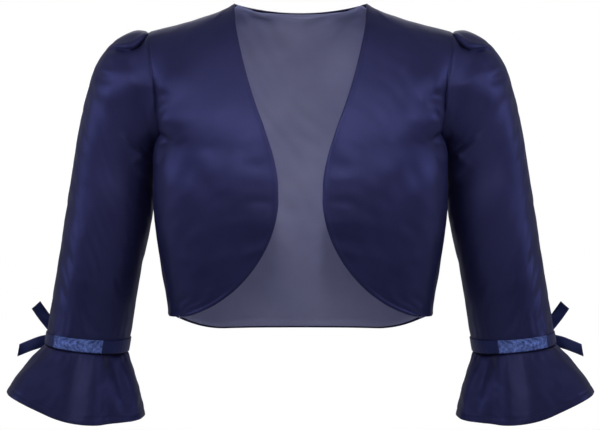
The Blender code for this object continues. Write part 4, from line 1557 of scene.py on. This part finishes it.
@dataclass
class Cuffs:
    """Flounces, the ribbon round each cuff, its knot and its two free ends."""

    form: JacketForm
    cloths: Cloths
    flounce_columns: int = 300
    flounce_rows: int = 46
    band_columns: int = 640
    band_rows: int = 15
    end_columns: int = 15
    end_rows: int = 56
    knot_columns: int = 36
    knot_rows: int = 25
    flounce_wall: float = 1.2 * MM
    loose_wall: float = 0.6 * MM
    ribbon_wall: float = 1.0 * MM
    ribbon_width: float = 12.0 * MM
    ribbon_above_seam: float = 0.8 * MM
    # x range of the ruching, which is also where the ribbon is painted bright blue as a painted highlight
    ruched_painted_highlight_x: Pair = (205 * MM, 254 * MM)
    pucker: float = 1.2 * MM
    pucker_pitch: float = 4.4 * MM
    knot_angle: float = math.radians(35)
    knot_half_size: tuple[float, float, float] = (2.6 * MM, 4.5 * MM, 5.5 * MM)
    hem_stitch_above_edge: float = 7.0 * MM

    def build_flounces(self) -> list[bpy.types.Object]:
        """Both flounces, with their hem stitches.

        Returns:
            The pieces.
        """
        u = np.arange(self.flounce_columns) / self.flounce_columns
        grid = self.form.flounce(u, clustered(0, 1, self.flounce_rows, 0.35))
        outward = outward_of(grid, True, 0, 0)
        size = lengths_of(grid, True)
        turns = u[None, :]
        from_hem = size.length - size.along
        gathers = np.sin(TURN * (27 * turns + 0.4 * np.sin(TURN * 4 * turns)))
        gathers = gathers * bell(size.along - 3 * MM, 9 * MM)
        wave = np.sin(TURN * (11 * turns + 0.3 * np.sin(TURN * 3 * turns) + 0.1))
        in_front = smooth_step((self.form.flounce_axis_y - grid[..., 1]) / (18 * MM))
        relief = (
            0.25 * MM * gathers
            + 0.3 * MM * wave * smooth_step(size.along / (30 * MM))
            + fold_relief(grid[..., [0, 2]], FLOUNCE_FRONT_FOLDS) * in_front
            + unevenness(size.across, size.along, 61, 0.18 * MM, 14 * MM, 45 * MM)
            - 0.8 * MM * bell(size.along, 1.5 * MM)
            - 0.35 * MM * bell(from_hem - self.hem_stitch_above_edge, 1.0 * MM)
            - 0.3 * MM * bell(from_hem, 1.0 * MM)
        )
        shell = shell_from(grid, outward, relief, self.flounce_wall, True)
        row = int(np.abs(from_hem.mean(1) - self.hem_stitch_above_edge).argmin())
        cloths = (self.cloths.satin, self.cloths.reverse)
        made = []
        for side in Side:
            made.append(add_sheet(side, "cuff_flounce", shell, grid, ("satin_sleeve_{side}",), cloths))
            name = f"hem_stitches_{side.value}"
            line = side.place(shell.outer[row] + outward[row] * 0.1 * MM)
            stitches = Stitches().mesh_along(name, line, side.place(outward[row]))
            stitches.materials.append(self.cloths.thread)
            made.append(add_piece(name, stitches, "navy_satin"))
        return made

    def build_bands(self) -> list[bpy.types.Object]:
        """The ribbon round each cuff: ruched in front and behind with a painted highlight, plain between.

        Returns:
            The pieces.
        """
        u = np.arange(self.band_columns) / self.band_columns
        foot = self.form.sleeve_length - self.ribbon_above_seam
        grid = self.form.cuff(u, np.linspace(foot - self.ribbon_width, foot, self.band_rows))
        outward = outward_of(grid, True, 0, 0)
        size = lengths_of(grid, True)
        share = (size.along / size.length) * 2 - 1
        x = grid[..., 0]
        low, high = self.ruched_painted_highlight_x
        ruched_painted_highlight = smooth_step((x - low + 2 * MM) / (2 * MM)) * smooth_step((high + 2 * MM - x) / (2 * MM))
        run = TURN * size.across
        waver = 0.9 * np.sin(run / (17 * MM)) + 0.5 * np.sin(run / (7.3 * MM) + 1.0)
        twist = 0.8 * np.sin(run / (11 * MM)) * share
        puckers = np.sin(run / self.pucker_pitch + waver + twist)
        puckers = puckers + 0.5 * np.sin(run / (1.9 * MM) - waver) * np.abs(share)
        drawn_up = (0.3 + 0.7 * share**2) * (puckers * 0.5 + 0.5) * (0.15 + 0.85 * ruched_painted_highlight)
        relief = self.ribbon_wall + self.form.rest_gap + self.pucker * drawn_up - 0.25 * MM * share**2
        shell = shell_from(grid, outward, relief, self.loose_wall, True)
        middle_x = x[self.band_rows // 2]

        def choose(col: Array) -> Array:
            """Painted highlight in bright blue between the two ends of the ruching, and plain navy elsewhere."""
            at = middle_x[np.round(col).astype(int) % len(middle_x)]
            return np.where((at > low) & (at < high), 2, 0)

        # the third material paints the ruched stretch bright blue: a painted highlight
        cloths = (self.cloths.ribbon, self.cloths.ribbon, self.cloths.ruched_painted_highlight)
        rest = (("satin_sleeve_{side}",), cloths, "blue_ribbon", "gathered", choose)
        return [add_sheet(side, "cuff_ribbon", shell, grid, *rest) for side in Side]

    def build_knots(self) -> list[bpy.types.Object]:
        """The knots: each a rounded bead wrapped by two turns of ribbon.

        The bead is an ellipsoid whose radius dips along two slanting lines, where one turn of the
        ribbon passes over the other.

        Returns:
            The pieces.
        """
        u = np.array([-self.knot_angle / TURN])
        foot = self.form.sleeve_length - self.ribbon_above_seam
        v = foot - self.ribbon_width * np.array([1.0, 0.5, 0.0])
        nudge = np.array([1e-4])
        here = self.form.cuff(u, v)[:, 0]
        normal = np.cross(self.form.cuff(u + nudge, v)[1, 0] - here[1], here[2] - here[0])
        normal = Vector(normal).normalized()
        if normal.x < 0:
            normal.negate()
        out = 2 * self.form.rest_gap + self.ribbon_wall + self.knot_half_size[0]
        centre = Vector(here[1]) + normal * out
        turn = np.array(normal.to_track_quat("X", "Z").to_matrix())
        polar = np.linspace(0, math.pi, self.knot_rows)[:, None]
        around = (np.arange(self.knot_columns) * TURN / self.knot_columns)[None, :]
        dip = 1 - 0.13 * bell(np.sin(polar) * np.sin(around) + 0.5 * np.cos(polar), 0.13)
        dip = dip - 0.08 * bell(np.cos(polar) - 0.55 + 0.25 * np.sin(around), 0.10)
        ball = stack(np.sin(polar) * np.cos(around), np.sin(polar) * np.sin(around), np.cos(polar))
        points = np.array(centre) + (ball * dip[..., None] * np.array(self.knot_half_size)) @ turn.T
        made = []
        for side in Side:
            name = f"ribbon_knot_{side.value}"
            faces = tube_faces(self.knot_rows, self.knot_columns)
            mesh = mesh_from(name, side.place(points).reshape(-1, 3), faces)
            round_off(mesh, "yz", weld=1e-6)
            mesh.materials.append(self.cloths.ribbon)
            made.append(add_piece(f"satin_{name}", mesh, "blue_ribbon", (name,)))
        return made

    def build_ends(self) -> list[bpy.types.Object]:
        """The free ends of each ribbon, bent a little along their length.

        Returns:
            The pieces.
        """
        made = []
        at, share = np.linspace(0, 1, self.end_rows), np.linspace(-1, 1, self.end_columns)[None, :]
        for word, end in RIBBON_ENDS.items():
            line, half_width = end.line(at)
            heading = unit(np.gradient(line, at, axis=0))
            across = unit(np.cross(heading, np.array([0.0, 1.0, 0.0])))
            face = line[:, None] + across[:, None] * (half_width[:, None] * share)[..., None]
            face = face + (heading * (end.slant * at**6)[:, None])[:, None] * share[..., None]
            normal = np.cross(across, heading)
            way = at[:, None]
            gather = (1 - smooth_step(way / 0.35)) * np.sin(TURN * 1.5 * share + 0.6) * 0.7 * MM
            bow = end.fold * (share**2 - 0.4) * smooth_step(way * 3)
            ripple = 0.35 * MM * np.sin(TURN * (1.6 * way + 0.25 * share)) * smooth_step(way * 4)
            lift = 0.5 * MM + gather * 0.6 + bow * 0.5 + ripple
            outer = face + normal[:, None] * lift[..., None]
            shell = Shell(outer, outer + normal[:, None] * self.loose_wall, False)
            rest = (("satin_ribbon_knot_{side}",), (self.cloths.ribbon, self.cloths.ribbon), "blue_ribbon")
            made += [add_sheet(side, f"ribbon_end_{word}", shell, face, *rest) for side in Side]
        return made

    def build(self) -> list[bpy.types.Object]:
        """Build and dress every piece of both cuffs."""
        return self.build_flounces() + self.build_bands() + self.build_knots() + self.build_ends()


PAIR = (("left_", 1), ("right_", -1))


@dataclass(frozen=True)
class SoftBox:
    """A soft box: place, aim and size in metres, power in watts, spread of its grid and colour.

    Each of its hands makes one light: the word before its name, and 1 as given or -1 for mirrored.
    """

    name: str
    place: tuple[float, float, float]
    aim: tuple[float, float, float]
    size: Pair
    power: float
    spread: float = math.pi
    code: str = "#ffffff"
    hands: tuple[tuple[str, int], ...] = (("", 1),)

    def build(self) -> None:
        """Make the light of each hand."""
        for word, hand in self.hands:
            data = bpy.data.lights.new(word + self.name, "AREA")
            data.shape = "RECTANGLE"
            data.size, data.size_y = self.size
            data.energy = self.power
            data.spread = self.spread
            data.color = srgb(self.code)[:3]
            light = bpy.data.objects.new(word + self.name, data)
            bpy.context.scene.collection.objects.link(light)
            place, aim = (Vector((hand * point[0], *point[1:])) for point in (self.place, self.aim))
            light.location = place
            light.rotation_euler = (aim - place).to_track_quat("-Z", "Y").to_euler()
            light.visible_camera = False


@dataclass
class Studio:
    """Plain pale floor and surroundings, soft light, and the camera of the photograph."""

    distance: float = 2.8
    camera_height: float = -0.100
    aim_height: float = -0.2184
    frame_width: float = 0.6204
    sensor: float = 36.0
    sees_from_to: Pair = (0.05, 50.0)
    floor_height: float = -0.75
    floor_radius: float = 2.2
    floor_fades_from: float = 0.7
    floor_white_at: float = 0.97
    floor_inner_ring: float = 0.02
    floor_rings: int = 12
    floor_turns: int = 96
    off_centre: float = -0.0005
    ambient: float = 0.24
    boxes: Sequence[SoftBox] = (
        SoftBox("high_box", (0.0, -1.7, 1.9), (0.0, 0.0, -0.15), (1.6, 1.0), 5.9),
        SoftBox("low_box", (0.0, -2.5, 0.45), (0.0, 0.0, -0.15), (1.2, 0.3), 2.9),
        SoftBox("chest_box", (0.0, -2.4, 0.85), (0.0, 0.0, -0.13), (1.2, 0.18), 0.115, 0.08),
        SoftBox("cuff_box", (0.0, -2.4, 0.2), (0.0, 0.0, -0.39), (1.2, 0.1), 0.030, 0.06),
        SoftBox("front_box", (1.4, -1.9, 0.5), (0.08, 0.0, -0.12), (0.8, 0.2), 0.070, 0.10, "#eef0ff", PAIR),
        SoftBox("chest_box", (2, -1.2, 0.5), (0.13, -0.05, -0.07), (0.9, 0.5), 0.10, 0.25, "#e8ebff", PAIR),
        SoftBox("side_box", (2.2, -0.2, 0.25), (0.23, 0.0, -0.08), (0.8, 0.8), 0.28, 0.5, "#c4caff", PAIR),
        SoftBox("back_box", (0.0, 2.2, 1.2), (0.0, 0.0, -0.15), (2.0, 1.0), 6.0),
    )

    def build_surroundings(self) -> None:
        """A white surround to the eye that gives the cloth only a soft grey light."""
        world = bpy.data.worlds.new("pale_surround")
        bpy.context.scene.world = world
        tree = cleared(world)
        seen = add_node(tree, "ShaderNodeBackground", {"Color": srgb("#ffffff"), "Strength": 1.0})
        cast = add_node(tree, "ShaderNodeBackground", {"Color": srgb("#f4f5ff"), "Strength": self.ambient})
        path = add_node(tree, "ShaderNodeLightPath")
        mixed = add_node(
            tree,
            "ShaderNodeMixShader",
            {},
            {0: path.outputs["Is Camera Ray"], 1: cast.outputs["Background"], 2: seen.outputs["Background"]},
        )
        add_node(tree, "ShaderNodeOutputWorld", {}, {"Surface": mixed.outputs["Shader"]})

    def build_floor(self) -> bpy.types.Object:
        """A pale floor, white where it meets the surround.

        Returns:
            The floor.
        """
        material = bpy.data.materials.new("matt_white_floor_paint")
        tree = cleared(material)
        place = add_node(tree, "ShaderNodeTexCoord").outputs["Object"]
        distance = add_node(tree, "ShaderNodeVectorMath", {"operation": "LENGTH"}, {0: place})
        fades = {
            "From Min": self.floor_fades_from,
            "From Max": self.floor_radius * self.floor_white_at,
            "interpolation_type": "SMOOTHSTEP",
        }
        fade = add_node(tree, "ShaderNodeMapRange", fades, {"Value": distance.outputs["Value"]})
        path = add_node(tree, "ShaderNodeLightPath")
        share = add_node(
            tree,
            "ShaderNodeMath",
            {"operation": "MULTIPLY"},
            {0: fade.outputs["Result"], 1: path.outputs["Is Camera Ray"]},
        )
        paint = add_node(tree, "ShaderNodeBsdfDiffuse", {"Color": srgb("#d8d8dc")})
        white = add_node(tree, "ShaderNodeEmission", {"Color": srgb("#ffffff"), "Strength": 1.0})
        mixed = add_node(
            tree,
            "ShaderNodeMixShader",
            {},
            {0: share.outputs["Value"], 1: paint.outputs["BSDF"], 2: white.outputs["Emission"]},
        )
        add_node(tree, "ShaderNodeOutputMaterial", {}, {"Surface": mixed.outputs["Shader"]})
        count = self.floor_turns
        turns = np.arange(count) * TURN / count
        rings = np.linspace(self.floor_inner_ring, self.floor_radius, self.floor_rings)[:, None]
        grid = stack(rings * np.cos(turns), rings * np.sin(turns), self.floor_height + 0.0 * rings)
        mesh = bpy.data.meshes.new("floor")
        faces = tube_faces(self.floor_rings, count)[:, ::-1]
        mesh.from_pydata(grid.reshape(-1, 3), [], [*faces.tolist(), list(range(count))])
        mesh.materials.append(material)
        floor = bpy.data.objects.new("floor", mesh)
        bpy.context.scene.collection.objects.link(floor)
        floor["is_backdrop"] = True
        return floor

    def build_camera(self) -> bpy.types.Object:
        """The camera: a long lens a little above the middle of the jacket.

        Returns:
            The camera.
        """
        data = bpy.data.cameras.new("camera")
        data.sensor_width = self.sensor
        data.lens = self.sensor * self.distance / self.frame_width
        data.clip_start, data.clip_end = self.sees_from_to
        camera = bpy.data.objects.new("camera", data)
        bpy.context.scene.collection.objects.link(camera)
        camera.location = (self.off_centre, -self.distance, self.camera_height)
        aim = Vector((self.off_centre, 0.0, self.aim_height))
        camera.rotation_euler = (aim - camera.location).to_track_quat("-Z", "Y").to_euler()
        bpy.context.scene.camera = camera
        return camera

    def build(self) -> None:
        """Set up the surroundings, the floor, the lights and the camera."""
        self.build_surroundings()
        self.build_floor()
        for box in self.boxes:
            box.build()
        self.build_camera()
        bpy.context.scene.view_settings.view_transform = "Standard"


def write_sizes() -> None:
    """Log the sizes of the solids' box and of the dressed jacket's box, in millimetres."""
    sizes = {"cad": [list(corner) for corner in CAD_BOX], "visual": [list(corner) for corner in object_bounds()]}
    for name, (low, high) in sizes.items():
        log.info("%s box: %s mm", name, [round((b - a) / MM, 1) for a, b in zip(low, high)])


def main() -> None:
    """Build the jacket piece by piece, then the studio round it."""
    logging.basicConfig(level=logging.INFO, format="%(name)s: %(message)s")
    form = JacketForm()
    cloths = Cloths()
    for assembly in (Body(form, cloths), Sleeves(form, cloths), Cuffs(form, cloths)):
        made = assembly.build()
        log.info("%s: %d pieces", type(assembly).__name__, len(made))
    Studio().build()
    write_sizes()


if __name__ == "__main__":
    main()
